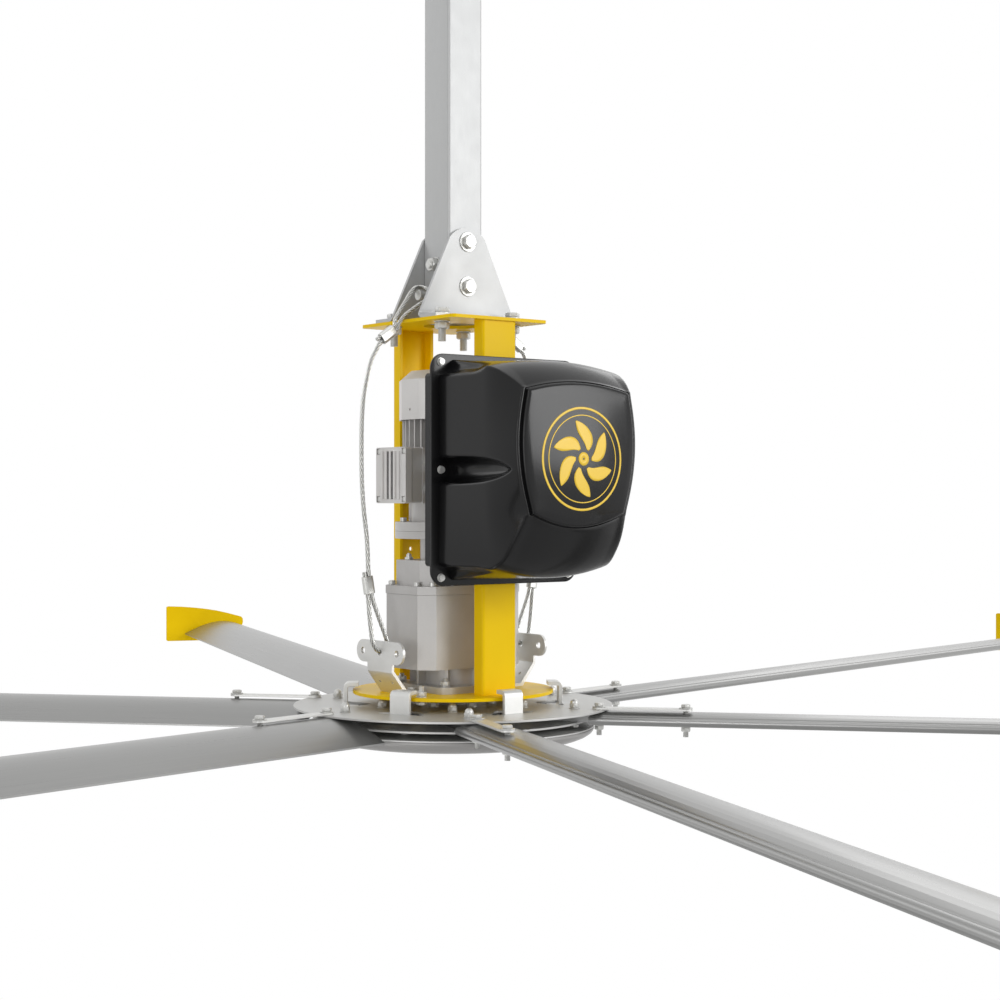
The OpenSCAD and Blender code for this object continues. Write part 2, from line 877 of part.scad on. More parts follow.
module drive_cover() {
  color(black) hang() cover_plane(cover_back) difference() {
    union() {
      slab(cover_w, cover_h, cover_corner_r, cover_flange);
      difference() {
        dome_body(0);
        up(cover_flange) recesses(0);
      }
    }
    difference() {
      up(-cut) dome_body(cover_wall);
      up(-2 * cut) linear_extrude(2 * cut + cover_flange)
        cover_screw_places() circle(recess_r + cover_wall);
      up(cover_flange - cut) recesses(cover_wall);
    }
    up(-cut) linear_extrude(cover_flange + 2 * cut)
      cover_screw_places() circle(cover_screw_d / 2 + hole_clearance);
  }
}

module cover_screws() {
  color(bright) hang() cover_plane(cover_back + cover_flange + seat_gap)
    cover_screw_places() {
      up(seat_gap + washer_h(cover_screw_d))
        cylinder(h = head_h(cover_screw_d), d = flats(cover_screw_d));
      washer(cover_screw_d, cover_screw_d * washer_width_share);
      up(-2 * cover_flange - seat_gap)
        cylinder(h = 2 * cover_flange + cut + 2 * seat_gap + washer_h(cover_screw_d),
          d = cover_screw_d);
    }
}

grille_hole_count = 10;
grille_share = 0.68;
grille_hole_share = 0.12;

module cowl_shape(shrink) {
  cylinder(h = cowl_straight, r = cowl_r - shrink, $fn = 12);
  up(cowl_straight)
    cylinder(h = cowl_slope - shrink, r1 = cowl_r - shrink, r2 = cowl_top_r - shrink,
      $fn = 12);
}

module motor_cowl() {
  color(cast) hang() up(cowl_bottom + seat_gap) rotate([0, 0, 15])
    difference() {
      cowl_shape(0);
      up(-cut) cylinder(h = cut + seat_gap, r = cowl_r - cowl_wall, $fn = 12);
      cowl_shape(cowl_wall);
      for (i = [0:grille_hole_count - 1]) {
        rotate([0, 0, i * 360 / grille_hole_count])
          translate([cowl_top_r * grille_share, 0, 0])
          cylinder(h = cowl_straight + cowl_slope + cut,
            r = cowl_top_r * grille_hole_share, $fn = 24);
      }
      cylinder(h = cowl_straight + cowl_slope + cut, r = cowl_top_r * grille_hole_share,
        $fn = 24);
      for (a = [0:90:270]) {
        rotate([0, 0, a - 15]) up(cowl_straight / 4) rotate([0, 90, 0])
          cylinder(h = cowl_r + cut, r = cowl_wall, $fn = 16);
      }
    }
}

lower_zone_share = 0.2;

module motor_housing() {
  length = cowl_bottom - motor_top_of_flange;
  zone = length * lower_zone_share;
  top = length - seat_gap;
  low = box_bottom - motor_top_of_flange;
  pad_back = lid_face - lid_t - box_body;
  color(cast) hang() up(motor_top_of_flange) difference() {
    union() {
      cylinder(h = length, r = motor_outer_r);
      for (a = [180 / fin_count:360 / fin_count:360],
          run = cos(a) < -fin_box_share
            ? [[zone, low + cut], [low + box_h - cut, top]] : [[zone, top]]) {
        rotate([0, 0, a]) translate([motor_bore_r + motor_wall / 2, -fin_t / 2, run[0] - cut])
          cube([fin_r - motor_bore_r - motor_wall / 2, fin_t, run[1] - run[0] + cut]);
      }
      translate([-pad_back, -box_w / 2, low])
        cube([pad_back, box_w, box_h]);
      for (a = [45:90:315]) {
        rotate([0, 0, a]) translate([motor_outer_r, 0, 0])
          cylinder(h = zone, r = motor_wall, $fn = 24);
      }
    }
    up(-cut) cylinder(h = length + 2 * cut, r = motor_bore_r);
    gland_holes(low);
    translate([-pad_back - cut, -box_w / 2 + motor_wall, low + motor_wall])
      cube([pad_back - motor_outer_r, box_w - 2 * motor_wall, box_h - 2 * motor_wall]);
  }
}

// Places of the gland and of the blanking plug on the terminal box's -Y side
gland_x = lid_face - lid_t - box_body - gland_d / 2 - cut;
gland_z_share = 0.72;
plug_z_share = 0.27;
fin_box_share = 0.75;

module gland_holes(base) {
  for (share = [gland_z_share, plug_z_share]) {
    translate([-gland_x, -box_w / 2 + motor_wall + cut, base + box_h * share])
      rotate([90, 0, 0])
      cylinder(h = motor_wall + 2 * cut, r = gland_d / 3 + seat_gap);
  }
}

module motor_stator() {
  color(dark) hang() up(stator_z) {
    ring(motor_bore_r - seat_gap, rotor_core_r + air_gap, stator_h);
    for (z = [-stator_h * stator_end_share, stator_h + seat_gap]) {
      up(z) ring(motor_bore_r - motor_wall, rotor_core_r + motor_wall,
        stator_h * stator_end_share - seat_gap);
    }
  }
}

stator_end_share = 0.14;
rear_shield_t = 12;

module motor_rear_shield() {
  color(cast) hang() up(cowl_bottom - rear_shield_t - seat_gap) difference() {
    union() {
      cylinder(h = rear_shield_t + 2 * seat_gap, r = motor_bore_r - seat_gap);
      up(rear_shield_t + 2 * seat_gap) {
        cylinder(h = motor_wall, r = motor_outer_r);
        shield_lugs();
      }
    }
    up(-cut) cylinder(h = 2 * rear_shield_t, r = motor_shaft_d / 2 + hole_clearance);
    up(-cut) cylinder(h = bearing_seat_share * rear_shield_t + cut,
      r = motor_bearing_r + bearing_fit);
  }
}

// Lugs that the cowl's screws hold on to
module shield_lugs() {
  reach = (cowl_r - cowl_wall) * cos(15) - seat_gap;
  for (a = [0:90:270]) {
    rotate([0, 0, a]) translate([0, -lug_w / 2, 0]) {
      translate([motor_bore_r, 0, 0]) cube([reach - motor_bore_r, lug_w, motor_wall]);
      translate([reach - lug_t, 0, 0]) cube([lug_t, lug_w, cowl_straight / 3]);
    }
  }
}

lug_w = 16;
lug_t = 4;
bearing_seat_share = 0.75;

module motor_flange() {
  spigot = motor_wall;
  height = motor_flange_t + spigot;
  color(cast) hang() up(motor_bottom) difference() {
    union() {
      cylinder(h = motor_flange_t, r = motor_flange_r);
      cylinder(h = height, r = motor_bore_r - seat_gap);
    }
    up(-cut) cylinder(h = height + 2 * cut,
      r = motor_shaft_d / 2 + hole_clearance);
    up(height - bearing_w)
      cylinder(h = bearing_w + cut, r = motor_bearing_r + bearing_fit);
    flange_bolt_places() up(-cut)
      cylinder(h = motor_flange_t + 2 * cut, r = case_bolt_d / 2 + hole_clearance);
  }
}

flange_bolt_circle_share = 0.86;

module flange_bolt_places() {
  for (a = [30:60:330]) {
    rotate([0, 0, a]) translate([motor_flange_r * flange_bolt_circle_share, 0, 0])
      children();
  }
}

module bearing(bore_r, outer_r, h) {
  web = (outer_r - bore_r) / 3;
  ball = h / 4;
  ring(outer_r, outer_r - web, h);
  ring(bore_r + web, bore_r, h);
  up(h / 2 - ball / 2) ring(outer_r - web - seat_gap,
    bore_r + web + seat_gap, ball);
}

module motor_bearings() {
  color(bright) hang() {
    up(motor_bottom + motor_flange_t + motor_wall - bearing_w + seat_gap)
      bearing(motor_shaft_d / 2 + bearing_fit, motor_bearing_r, bearing_w - seat_gap);
    up(cowl_bottom - rear_shield_t - seat_gap)
      bearing(motor_shaft_d / 2 + bearing_fit, motor_bearing_r,
        bearing_seat_share * rear_shield_t - seat_gap);
  }
}

// Turns a drawing in the YZ plane so that it stands on the -X side at a distance from the axis
module box_plane(x) {
  translate([-x, 0, box_bottom + box_h / 2]) rotate([0, -90, 0]) rotate([0, 0, 90]) children();
}

box_corner_share = 0.05;

module terminal_box() {
  w = box_w - 2 * box_step;
  h = box_h - 2 * box_step;
  r = box_w * box_corner_share;
  inner_w = w - 2 * motor_wall;
  color(cast) hang() box_plane(lid_face - lid_t - box_body + seat_gap) difference() {
    slab(w, h, r, box_body - 2 * seat_gap);
    up(motor_wall / 2) linear_extrude(box_body) difference() {
      slab_outline(inner_w, h - 2 * motor_wall, r / 2);
      lid_screw_places() circle(lid_screw_d);
    }
    up(box_body / 3) linear_extrude(box_body) lid_screw_places()
      circle(lid_screw_d / 2 + thread_gap);
  }
  color(dark) hang() box_plane(lid_face - lid_t - box_body + seat_gap)
    up(motor_wall / 4) for (y = [-1, 0, 1]) {
      translate([y * w / 4, 0, 0]) cylinder(h = box_body / 2, d = w / 6, $fn = 24);
    }
}

lid_rib_count = 5;
lid_rib_share = 0.45;
lid_rib_height = 2;

module lid_screw_places() {
  for (x = [-1, 1]) {
    for (y = [-1, 1]) {
      translate([x * (box_w / 2 - lid_inset), y * (box_h / 2 - lid_inset)]) children();
    }
  }
}

lid_screw_d = 5;

module terminal_lid() {
  notch = lid_screw_d * across_flats_share;
  pitch = (box_w - 4 * lid_inset) / lid_rib_count;
  color(cast) hang() box_plane(lid_face - lid_t) difference() {
    union() {
      slab(box_w, box_h, box_w * box_corner_share, lid_t - lid_rib_height);
      for (i = [0:lid_rib_count - 1]) {
        translate([-box_w / 2 + 2 * lid_inset + (i + 0.5) * pitch - pitch / 4,
          -box_h / 2 + lid_inset, lid_t - lid_rib_height - cut])
          cube([pitch / 2, box_h - 2 * lid_inset, lid_rib_height + cut]);
      }
    }
    up(-cut) linear_extrude(lid_t + cut) lid_screw_places()
      circle(lid_screw_d / 2 + hole_clearance);
    up(lid_t / 2) linear_extrude(lid_t) lid_screw_places()
      square(notch + 2 * hole_clearance, center = true);
    up(-cut) slab(box_w - 4 * lid_inset, box_h - 4 * lid_inset,
      box_w * box_corner_share / 2, lid_t / 2 + cut);
  }
}

module terminal_screws() {
  color(bright) hang() box_plane(lid_face - lid_t) lid_screw_places() {
    up(lid_t / 2 + seat_gap)
      cylinder(h = head_h(lid_screw_d), d = flats(lid_screw_d), $fn = 24);
    up(-lid_inset) cylinder(h = lid_t / 2 + lid_inset + 2 * seat_gap,
      d = lid_screw_d, $fn = 24);
  }
}

module cable_gland() {
  color(bright) hang()
    translate([-gland_x, -box_w / 2 - seat_gap, box_bottom + box_h * gland_z_share])
    rotate([90, 0, 0]) {
      difference() {
        union() {
          up(-motor_wall) cylinder(h = motor_wall + seat_gap,
            r = gland_d / 3);
          hexagon(gland_d, gland_d / 3);
          cylinder(h = gland_d, r = gland_d / 3);
          up(gland_d / 2) cylinder(h = gland_d / 3, r = gland_d / 2.2);
        }
        up(-motor_wall - cut) cylinder(h = 2 * gland_d, r = gland_d / 5);
      }
    }
}

module blanking_plug() {
  color(bright) hang()
    translate([-gland_x, -box_w / 2 - seat_gap, box_bottom + box_h * plug_z_share])
    rotate([90, 0, 0]) {
      up(-motor_wall) cylinder(h = motor_wall + seat_gap, r = gland_d / 3);
      difference() {
        cylinder(h = gland_d / 6, r = gland_d / 2.2);
        up(gland_d / 12) cylinder(h = gland_d, r = gland_d / 3.4);
      }
    }
}

// Gear case screws round the rim, mirrored into all four corners
case_bolt_d = 6;
case_bolt_shares = [[0.953, 0.55], [0.8, 0.86], [0.42, 0.885]];

module case_bolt_places() {
  for (share = case_bolt_shares) {
    for (x = [-1, 1]) {
      for (y = [-1, 1]) {
        translate([x * share[0] * case_x / 2, y * share[1] * case_y / 2, 0]) children();
      }
    }
  }
}

module gear_case_lower() {
  height = case_joint - case_bottom - seat_gap;
  color(cast) hang() difference() {
    union() {
      up(case_bottom) linear_extrude(height)
        cut_outline(case_x, case_y, case_cut);
      up(disc_top) cylinder(h = case_bottom - disc_top + cut, r = foot_neck_r);
      up(disc_top) slab(foot_side, foot_side, foot_r, foot_t);
      for (a = [0:45:315]) {
        rotate([0, 0, a]) translate([0, -motor_wall / 2, disc_top])
          cube([foot_side / 2 - foot_t / 2, motor_wall, case_bottom - disc_top + cut]);
      }
    }
    up(case_floor) linear_extrude(height)
      cut_outline(case_x - 2 * case_wall, case_y - 2 * case_wall,
        case_cut - case_wall / 2);
    up(disc_top - cut) cylinder(h = case_bottom, r = seal_r + seat_gap);
    up(case_bottom - cut) cylinder(h = 2 * floor_t,
      r = output_bearing_r + bearing_fit);
    translate([gear_centre, 0, case_bottom + cut]) cylinder(h = 2 * floor_t,
      r = counter_bearing_r + bearing_fit);
    up(case_joint - 3 * case_bolt_d) case_bolt_places()
      cylinder(h = 4 * case_bolt_d, r = case_bolt_d / 2 + thread_gap, $fn = 24);
    for (x = [-foot_bolt_xy, foot_bolt_xy]) {
      for (y = [-foot_bolt_xy, foot_bolt_xy]) {
        translate([x, y, disc_top - cut]) cylinder(h = foot_t + 2 * cut,
          r = blade_bolt_d / 2 + hole_clearance);
        translate([x, y, disc_top + foot_t]) cylinder(h = case_bottom - disc_top - foot_t,
          r = blade_bolt_d * 1.2);
      }
    }
  }
}

module gear_case_upper() {
  inner_top = upper_top - floor_t;
  color(cast) hang() difference() {
    union() {
      up(case_joint + seat_gap) linear_extrude(case_rim)
        cut_outline(case_x + 2 * cut, case_y + 2 * cut, case_cut);
      up(case_joint + case_rim) linear_extrude(
        upper_top - case_joint - case_rim) cut_outline(upper_x, upper_y, upper_cut);
      up(upper_top - cut)
        cylinder(h = motor_bottom - upper_top + cut - seat_gap, r = neck_r);
      up(motor_bottom - neck_flange_t - seat_gap)
        cylinder(h = neck_flange_t, r = motor_flange_r);
    }
    up(case_joint) linear_extrude(inner_top - case_joint)
      cut_outline(upper_x - 2 * case_wall, upper_y - 2 * case_wall,
        upper_cut - case_wall / 2);
    up(case_joint) cylinder(h = motor_bottom,
      r = motor_shaft_d / 2 + bearing_wall);
    case_bolt_places() up(case_joint - cut)
      cylinder(h = case_rim + 2 * cut, r = case_bolt_d / 2 + hole_clearance, $fn = 24);
    up(motor_bottom) flange_bolt_places()
      up(-2 * neck_flange_t) cylinder(h = 3 * neck_flange_t,
        r = case_bolt_d / 2 + thread_gap);
    translate([-breather_x, breather_y, upper_top - floor_t - cut])
      cylinder(h = floor_t + 2 * cut, r = breather_r + seat_gap);
  }
}

neck_flange_t = 11;

module gear_case_bolts() {
  color(bright) hang() up(case_joint + case_rim + seat_gap)
    case_bolt_places() cap_screw(case_bolt_d, case_rim + 2 * case_bolt_d);
}

module motor_flange_bolts() {
  color(bright) hang() up(motor_top_of_flange) flange_bolt_places()
    cap_screw(case_bolt_d, motor_flange_t + neck_flange_t);
}

module foot_bolts() {
  grip = foot_t + frame_plate;
  color(bright) hang() {
    for (x = [-foot_bolt_xy, foot_bolt_xy]) {
      for (y = [-foot_bolt_xy, foot_bolt_xy]) {
        translate([x, y, disc_gap]) mirror([0, 0, 1])
          bolt_set(blade_bolt_d, blade_bolt_d * washer_width_share, grip,
            blade_bolt_d / 2);
      }
    }
    for (a = rim_bolt_angles) {
      rotate([0, 0, a]) translate([disc_r * rim_bolt_share, 0, disc_gap])
        mirror([0, 0, 1]) bolt_set(blade_bolt_d, blade_bolt_d * washer_width_share,
          frame_plate, blade_bolt_d);
    }
  }
}

breather_r = 4;
breather_x_share = 0.85;
breather_x = upper_x / 2 * breather_x_share;
breather_y = upper_y / 2 - 2 * upper_cut;

module breather_plug() {
  color(bright) hang() translate([-breather_x, breather_y, upper_top]) {
    up(-floor_t) cylinder(h = floor_t + seat_gap, r = breather_r);
    up(seat_gap) {
      hexagon(3 * breather_r, breather_r);
      cylinder(h = 2 * breather_r, r = breather_r);
      up(2 * breather_r - cut) cylinder(h = breather_r / 2 + cut,
        r = breather_r * dome_share);
    }
  }
}

seal_r = output_shaft_d / 2 + bearing_wall;
seal_t = 10;

module output_seal() {
  color(dark) hang() up(disc_top)
    ring(seal_r, output_shaft_d / 2 + running_gap, seal_t);
}

module gear_bearings() {
  color(bright) hang() {
    up(case_bottom - cut) bearing(output_shaft_d / 2 + bearing_fit,
      output_bearing_r, bearing_w);
    up(disc_top + seal_t + cut) bearing(output_shaft_d / 2 + bearing_fit,
      seal_r, bearing_w);
    translate([gear_centre, 0, case_bottom + cut + seat_gap])
      bearing(counter_shaft_d / 2 + bearing_fit, counter_bearing_r, floor_t - cut);
  }
}

// Rope bracket on the -X side
bracket_screw_d = 6;
bracket_bolt_x = 89;
bracket_bolt_y = bracket_tongue_w / 4;
bracket_foot_x = 80;
bracket_lean = 25;
bracket_lobe_share = 0.38;
bracket_end_r = bracket_h * bracket_lobe_share;

module bracket_face_outline() {
  half = bracket_l / 2 - bracket_end_r;
  middle = bracket_h - bracket_end_r;
  tongue = bracket_tongue_w / 2;
  difference() {
    union() {
      translate([-tongue, 0]) square([2 * tongue, middle]);
      translate([-half, middle - bracket_end_r]) square([2 * half, 2 * bracket_end_r]);
      for (y = [-half, half]) {
        translate([y, middle]) circle(bracket_end_r);
      }
    }
    for (y = [-half, 0, half]) {
      translate([y, middle]) circle(bracket_hole_d / 2);
    }
  }
}

module rope_bracket() {
  low = disc_top;
  bend_x = bracket_x - bracket_lean;
  difference() {
    union() {
      translate([-bracket_x + bracket_t / 2, 0, bracket_bend]) rotate([90, 0, -90])
        linear_extrude(bracket_t) bracket_face_outline();
      translate([0, bracket_tongue_w / 2, 0]) rotate([90, 0, 0])
        linear_extrude(bracket_tongue_w) polygon([
          [-bracket_x - bracket_t / 2, bracket_bend + bracket_t],
          [-bracket_x - bracket_t / 2, bracket_bend - bracket_t / 2],
          [-bend_x - bracket_t / 2, low],
          [-bracket_foot_x, low],
          [-bracket_foot_x, low + bracket_t],
          [-bend_x + bracket_t / 2, low + bracket_t],
          [-bracket_x + bracket_t / 2, bracket_bend],
          [-bracket_x + bracket_t / 2, bracket_bend + bracket_t]
        ]);
    }
    for (y = [-1, 1]) {
      translate([-bracket_bolt_x, y * bracket_bolt_y, low - cut])
        cylinder(h = bracket_t + 2 * cut, r = bracket_screw_d / 2 + hole_clearance);
      translate([-bracket_x, y * bracket_bolt_y, (bracket_bend + low) / 2])
        rotate([0, 90, 0]) cylinder(h = bracket_x - bend_x, r = bracket_t / 2, $fn = 24);
    }
  }
}

module rope_brackets() {
  color(silver) hang() {
    rope_bracket();
    rotate([0, 0, 180]) rope_bracket();
  }
}

module bracket_bolts() {
  color(bright) hang() for (side = [-1, 1]) {
    for (y = [-1, 1]) {
      translate([side * bracket_bolt_x, y * bracket_bolt_y, disc_top + bracket_t])
        bolt_set(bracket_screw_d, bracket_screw_d * 1.9, frame_plate + bracket_t,
          bracket_screw_d / 6);
    }
  }
}

// Left rope: from its free end round the pin, down, through the bracket's hole and back up
rope_route = [
  [-140, 0, 545], [-123, 0, 556.4], [-108.6, 0, 566.3], [-106, 2, 576], [-97, 4, 589],
  [-85, 6, 604], [-75, 7, 618], [-65, 7.5, 627.5], [-55, 6, 629], [-48, 1, 626.5],
  [-45, -6.5, 624], [-44, -9.9, 616], [-46, -8.5, 609.5], [-54, -8, 606], [-63, -7.5, 604],
  [-82, -3, 590.5], [-92, -1, 582], [-101, 0, 570.5], [-104.6, 0, 560.5],
  [-133.4, 0, 540.7], [-141, 0, 530], [-150, 0, 514], [-157, 0, 490], [-163, 0, 462],
  [-166, 0, 432], [-167, 0, 400], [-167, 0, 366], [-166, 0, 332], [-163, 0, 294],
  [-158, 0, 256], [-156, 0, 228], [-154.6, 0, 202], [-148.5, 0, 167], [-141, 0, 146],
  [-131, 0, 123], [-124, 0, 106], [-120.5, 0, 95], [-122, 0, 87.5], [-131, 0, 84.5],
  [-140, 0, 88], [-147, 0, 99], [-150, 0, 116], [-153, 0, 140], [-155.4, 0, 166],
  [-161.9, 0, 203]
];
rope_sides = 8;

function rope_tangent(i) =
  let (a = rope_route[max(i - 1, 0)], b = rope_route[min(i + 1, len(rope_route) - 1)])
  (b - a) / norm(b - a);

function rope_ring(i) =
  let (p = rope_route[i], t = rope_tangent(i), c = [-t[2], 0, t[0]], s = c / norm(c),
    w = cross(s, t))
  [for (k = [0:rope_sides - 1]) let (a = (k + 0.5) * 360 / rope_sides)
    p + rope_d / 2 * (s * cos(a) + w * sin(a))];

module rope_line() {
  n = len(rope_route);
  points = [for (i = [0:n - 1]) each rope_ring(i)];
  sides = [for (i = [0:n - 2]) for (k = [0:rope_sides - 1]) each
    let (a = i * rope_sides + k, b = i * rope_sides + (k + 1) % rope_sides)
    [[a, b, b + rope_sides], [a, b + rope_sides, a + rope_sides]]];
  first = [for (k = [1:rope_sides - 2]) [0, k + 1, k]];
  base = (n - 1) * rope_sides;
  last = [for (k = [1:rope_sides - 2]) [base, base + k, base + k + 1]];
  polyhedron(points = points, faces = concat(sides, first, last));
}

module rope_left() {
  color(silver) hang() rope_line();
}

module rope_right() {
  color(silver) hang() rotate([0, 0, 180]) rope_line();
}

// Upper and lower ferrule of one rope: centre, tilt from upright and strand spacing
ferrule_upper = [-121, 553.5];
ferrule_upper_tilt = 55.6;
ferrule_lower = [-155, 184];
ferrule_lower_tilt = -9.9;
strand_gap = 7;

module ferrule() {
  outer = rope_d / 2 + ferrule_wall + running_gap;
  inner = rope_d / 2 + running_gap;
  up(-ferrule_l / 2) difference() {
    slab(2 * outer + strand_gap, 2 * outer, outer - seat_gap, ferrule_l);
    up(-cut) slab(2 * inner + strand_gap, 2 * inner, inner - seat_gap,
      ferrule_l + 2 * cut);
  }
}

module ferrule_pair() {
  translate([ferrule_upper[0], 0, ferrule_upper[1]]) rotate([0, ferrule_upper_tilt, 0])
    ferrule();
  translate([ferrule_lower[0], 0, ferrule_lower[1]]) rotate([0, ferrule_lower_tilt, 0])
    ferrule();
}

module rope_ferrules() {
  color(bright) hang() {
    ferrule_pair();
    rotate([0, 0, 180]) ferrule_pair();
  }
}

// Involute gear teeth
pressure_angle = 20;
addendum_share = 0.9;
dedendum_share = 1.15;

function involute_angle(base, r) = let (a = acos(min(1, base / r))) tan(a) * 180 / PI - a;

module gear_outline(teeth, m) {
  pitch = m * teeth / 2;
  base = pitch * cos(pressure_angle);
  tip = pitch + addendum_share * m;
  root = pitch - dedendum_share * m;
  start = max(base, root);
  half = 90 / teeth - gear_play / pitch * 90 / PI + involute_angle(base, pitch);
  steps = 5;
  flank = [for (i = [0:steps]) let (r = start + (tip - start) * i / steps)
    [r, half - involute_angle(base, r)]];
  polygon([for (k = [0:teeth - 1]) each let (c = k * 360 / teeth) concat(
    [[root * cos(c - half), root * sin(c - half)]],
    [for (f = flank) [f[0] * cos(c - f[1]), f[0] * sin(c - f[1])]],
    [for (i = [steps:-1:0]) let (f = flank[i]) [f[0] * cos(c + f[1]), f[0] * sin(c + f[1])]],
    [[root * cos(c + half), root * sin(c + half)]])]);
}

module gear_wheel(teeth, m, h, bore_d) {
  difference() {
    linear_extrude(h) gear_outline(teeth, m);
    up(-cut) cylinder(h = h + 2 * cut, r = bore_d / 2);
  }
}

shaft_collar = 3;

module motor_shaft() {
  fan_top = cowl_bottom + cowl_straight * 0.62;
  pinion_bore = motor_shaft_d * pinion_bore_share;
  low = stage_1_z - shaft_collar;
  color(bright) hang() {
    up(low) cylinder(h = stage_1_width + 2 * shaft_collar, d = pinion_bore);
    up(stage_1_z + stage_1_width + shaft_collar)
      cylinder(h = fan_top - stage_1_z - stage_1_width - shaft_collar, d = motor_shaft_d);
  }
}

pinion_bore_share = 0.55;

module motor_pinion() {
  color(bright) hang() up(stage_1_z)
    gear_wheel(pinion_teeth, stage_1_module, stage_1_width,
      motor_shaft_d * pinion_bore_share + 2 * seat_gap);
}

module rotor_core() {
  color(dark) hang() up(stator_z)
    ring(rotor_core_r, motor_shaft_d / 2 + seat_gap, stator_h);
}

fan_blade_count = 10;
fan_r_share = 0.86;

module cooling_fan() {
  fan_r = cowl_r * fan_r_share;
  height = cowl_straight * 0.42;
  color(dark) hang() up(cowl_bottom + cowl_straight * 0.16) difference() {
    union() {
      cylinder(h = cowl_wall, r = fan_r);
      cylinder(h = height, r = motor_shaft_d);
      for (i = [0:fan_blade_count - 1]) {
        rotate([0, 0, i * 360 / fan_blade_count])
          translate([motor_shaft_d / 2 + cut, -cowl_wall / 2, 0])
          cube([fan_r - motor_shaft_d / 2 - 2 * cut, cowl_wall, height]);
      }
    }
    up(-cut) cylinder(h = height + 2 * cut,
      r = motor_shaft_d / 2 + seat_gap);
  }
}

module counter_shaft() {
  bottom = case_bottom + cut + seat_gap;
  color(bright) hang() translate([gear_centre, 0, 0]) {
    up(bottom) cylinder(h = output_gear_z - bottom + cut,
      d = counter_shaft_d);
    up(output_gear_z) linear_extrude(stage_2_width)
      gear_outline(counter_teeth, stage_2_module);
    up(output_gear_z + stage_2_width - cut)
      cylinder(h = stage_1_z + stage_1_width + shaft_collar - output_gear_z
        - stage_2_width + cut, d = counter_shaft_d);
  }
}

module counter_gear() {
  color(bright) hang() translate([gear_centre, 0, stage_1_z])
    rotate([0, 0, 180 / wheel_teeth])
    gear_wheel(wheel_teeth, stage_1_module, stage_1_width,
      counter_shaft_d + 2 * seat_gap);
}

module output_gear() {
  color(bright) hang() up(output_gear_z)
    rotate([0, 0, 180 / output_teeth])
    gear_wheel(output_teeth, stage_2_module, stage_2_width - cut,
      output_shaft_d + 2 * seat_gap);
}

module output_shaft() {
  low = -skin_bottom;
  color(bright) hang() up(low)
    cylinder(h = output_gear_z + stage_2_width + floor_t - low, d = output_shaft_d);
}

boss_flange_share = 0.38;

module hub_boss() {
  flange = (spar_bottom - hub_plate_t) * boss_flange_share;
  color(cast) hang() difference() {
    union() {
      up(-hub_plate_t - flange) cylinder(h = flange, r = boss_r);
      up(-spar_bottom) cylinder(h = spar_bottom + disc_gap * 0.8,
        r = boss_top_r);
    }
    up(-spar_bottom - cut) cylinder(h = 2 * spar_bottom + disc_gap,
      r = output_shaft_d / 2 + seat_gap);
    boss_bolt_places() up(-spar_bottom) cylinder(h = 2 * spar_bottom,
      r = blade_bolt_d / 2 + hole_clearance);
  }
}

module boss_bolt_places() {
  for (i = [0:blade_count - 1]) {
    rotate([0, 0, blade_angle + boss_bolt_turn + i * 360 / blade_count])
      translate([boss_bolt_r, 0, 0]) children();
  }
}

boss_bolt_turn = 12;

module boss_bolts() {
  flange = (spar_bottom - hub_plate_t) * boss_flange_share;
  color(bright) hang() boss_bolt_places() bolt_set(blade_bolt_d,
    blade_bolt_d * washer_width_share, hub_plate_t + flange, 0);
}

// Line of one blade: X runs out along the blade, the bolt line is at y = 0
module blade_lines() {
  for (i = [0:blade_count - 1]) {
    rotate([0, 0, blade_angle + i * 360 / blade_count]) translate([0, -bolt_line, 0])
      children();
  }
}

module clip_places() {
  for (i = [0:blade_count - 1]) {
    rotate([0, 0, clip_angle + i * 360 / blade_count]) children();
  }
}

// Window in the hub plate round a clip: straight on the outside, pointed towards the axis
module window_outline() {
  outer = clip_r + running_gap;
  half = window_w / 2 - window_r;
  inner = outer - window_d + window_r;
  polygon([
    [outer, -half], [outer, half], [outer - 2 * window_r, half + window_r / 2],
    [inner, window_r * 2], [inner - window_r, 0], [inner, -window_r * 2],
    [outer - 2 * window_r, -half - window_r / 2]
  ]);
  for (y = [-half, half]) {
    translate([outer - window_r, y]) circle(window_r);
  }
}

module hub_plate() {
  color(silver) hang() up(-hub_plate_t) difference() {
    cylinder(h = hub_plate_t, r = hub_r, $fn = 128);
    up(-cut) {
      cylinder(h = hub_plate_t + 2 * cut, r = boss_top_r + running_gap);
      blade_lines() for (s = [hub_bolt_1, hub_bolt_2, blade_bolt_1]) {
        translate([s, 0, 0]) cylinder(h = hub_plate_t + 2 * cut,
          r = blade_bolt_d / 2 + hole_clearance);
      }
      boss_bolt_places() cylinder(h = hub_plate_t + 2 * cut,
        r = blade_bolt_d / 2 + hole_clearance);
      clip_places() linear_extrude(hub_plate_t + 2 * cut) window_outline();
    }
  }
}

module hub_lower_plate() {
  color(silver) hang() up(-spar_bottom - lower_plate_t) difference() {
    cylinder(h = lower_plate_t, r = lower_plate_r, $fn = 128);
    up(-cut) {
      cylinder(h = lower_plate_t + 2 * cut, r = boss_top_r + running_gap);
      blade_lines() for (s = [hub_bolt_1, hub_bolt_2]) {
        translate([s, 0, 0]) cylinder(h = lower_plate_t + 2 * cut,
          r = blade_bolt_d / 2 + hole_clearance);
      }
    }
  }
}

spacer_r_share = 0.72;
spacer_r = 8;

module spacer_places() {
  clip_places() translate([lower_plate_r * spacer_r_share, 0, 0]) children();
}

module hub_cap_plate() {
  color(silver) hang() {
    up(-cap_plate_z - cap_wall) difference() {
      cylinder(h = cap_wall, r = cap_r, $fn = 128);
      up(-cut) cylinder(h = cap_wall + 2 * cut, r = boss_r);
    }
    spacer_places() up(-cap_plate_z - cap_wall / 2)
      cylinder(h = cap_gap + cap_wall / 2, r = spacer_r);
  }
}

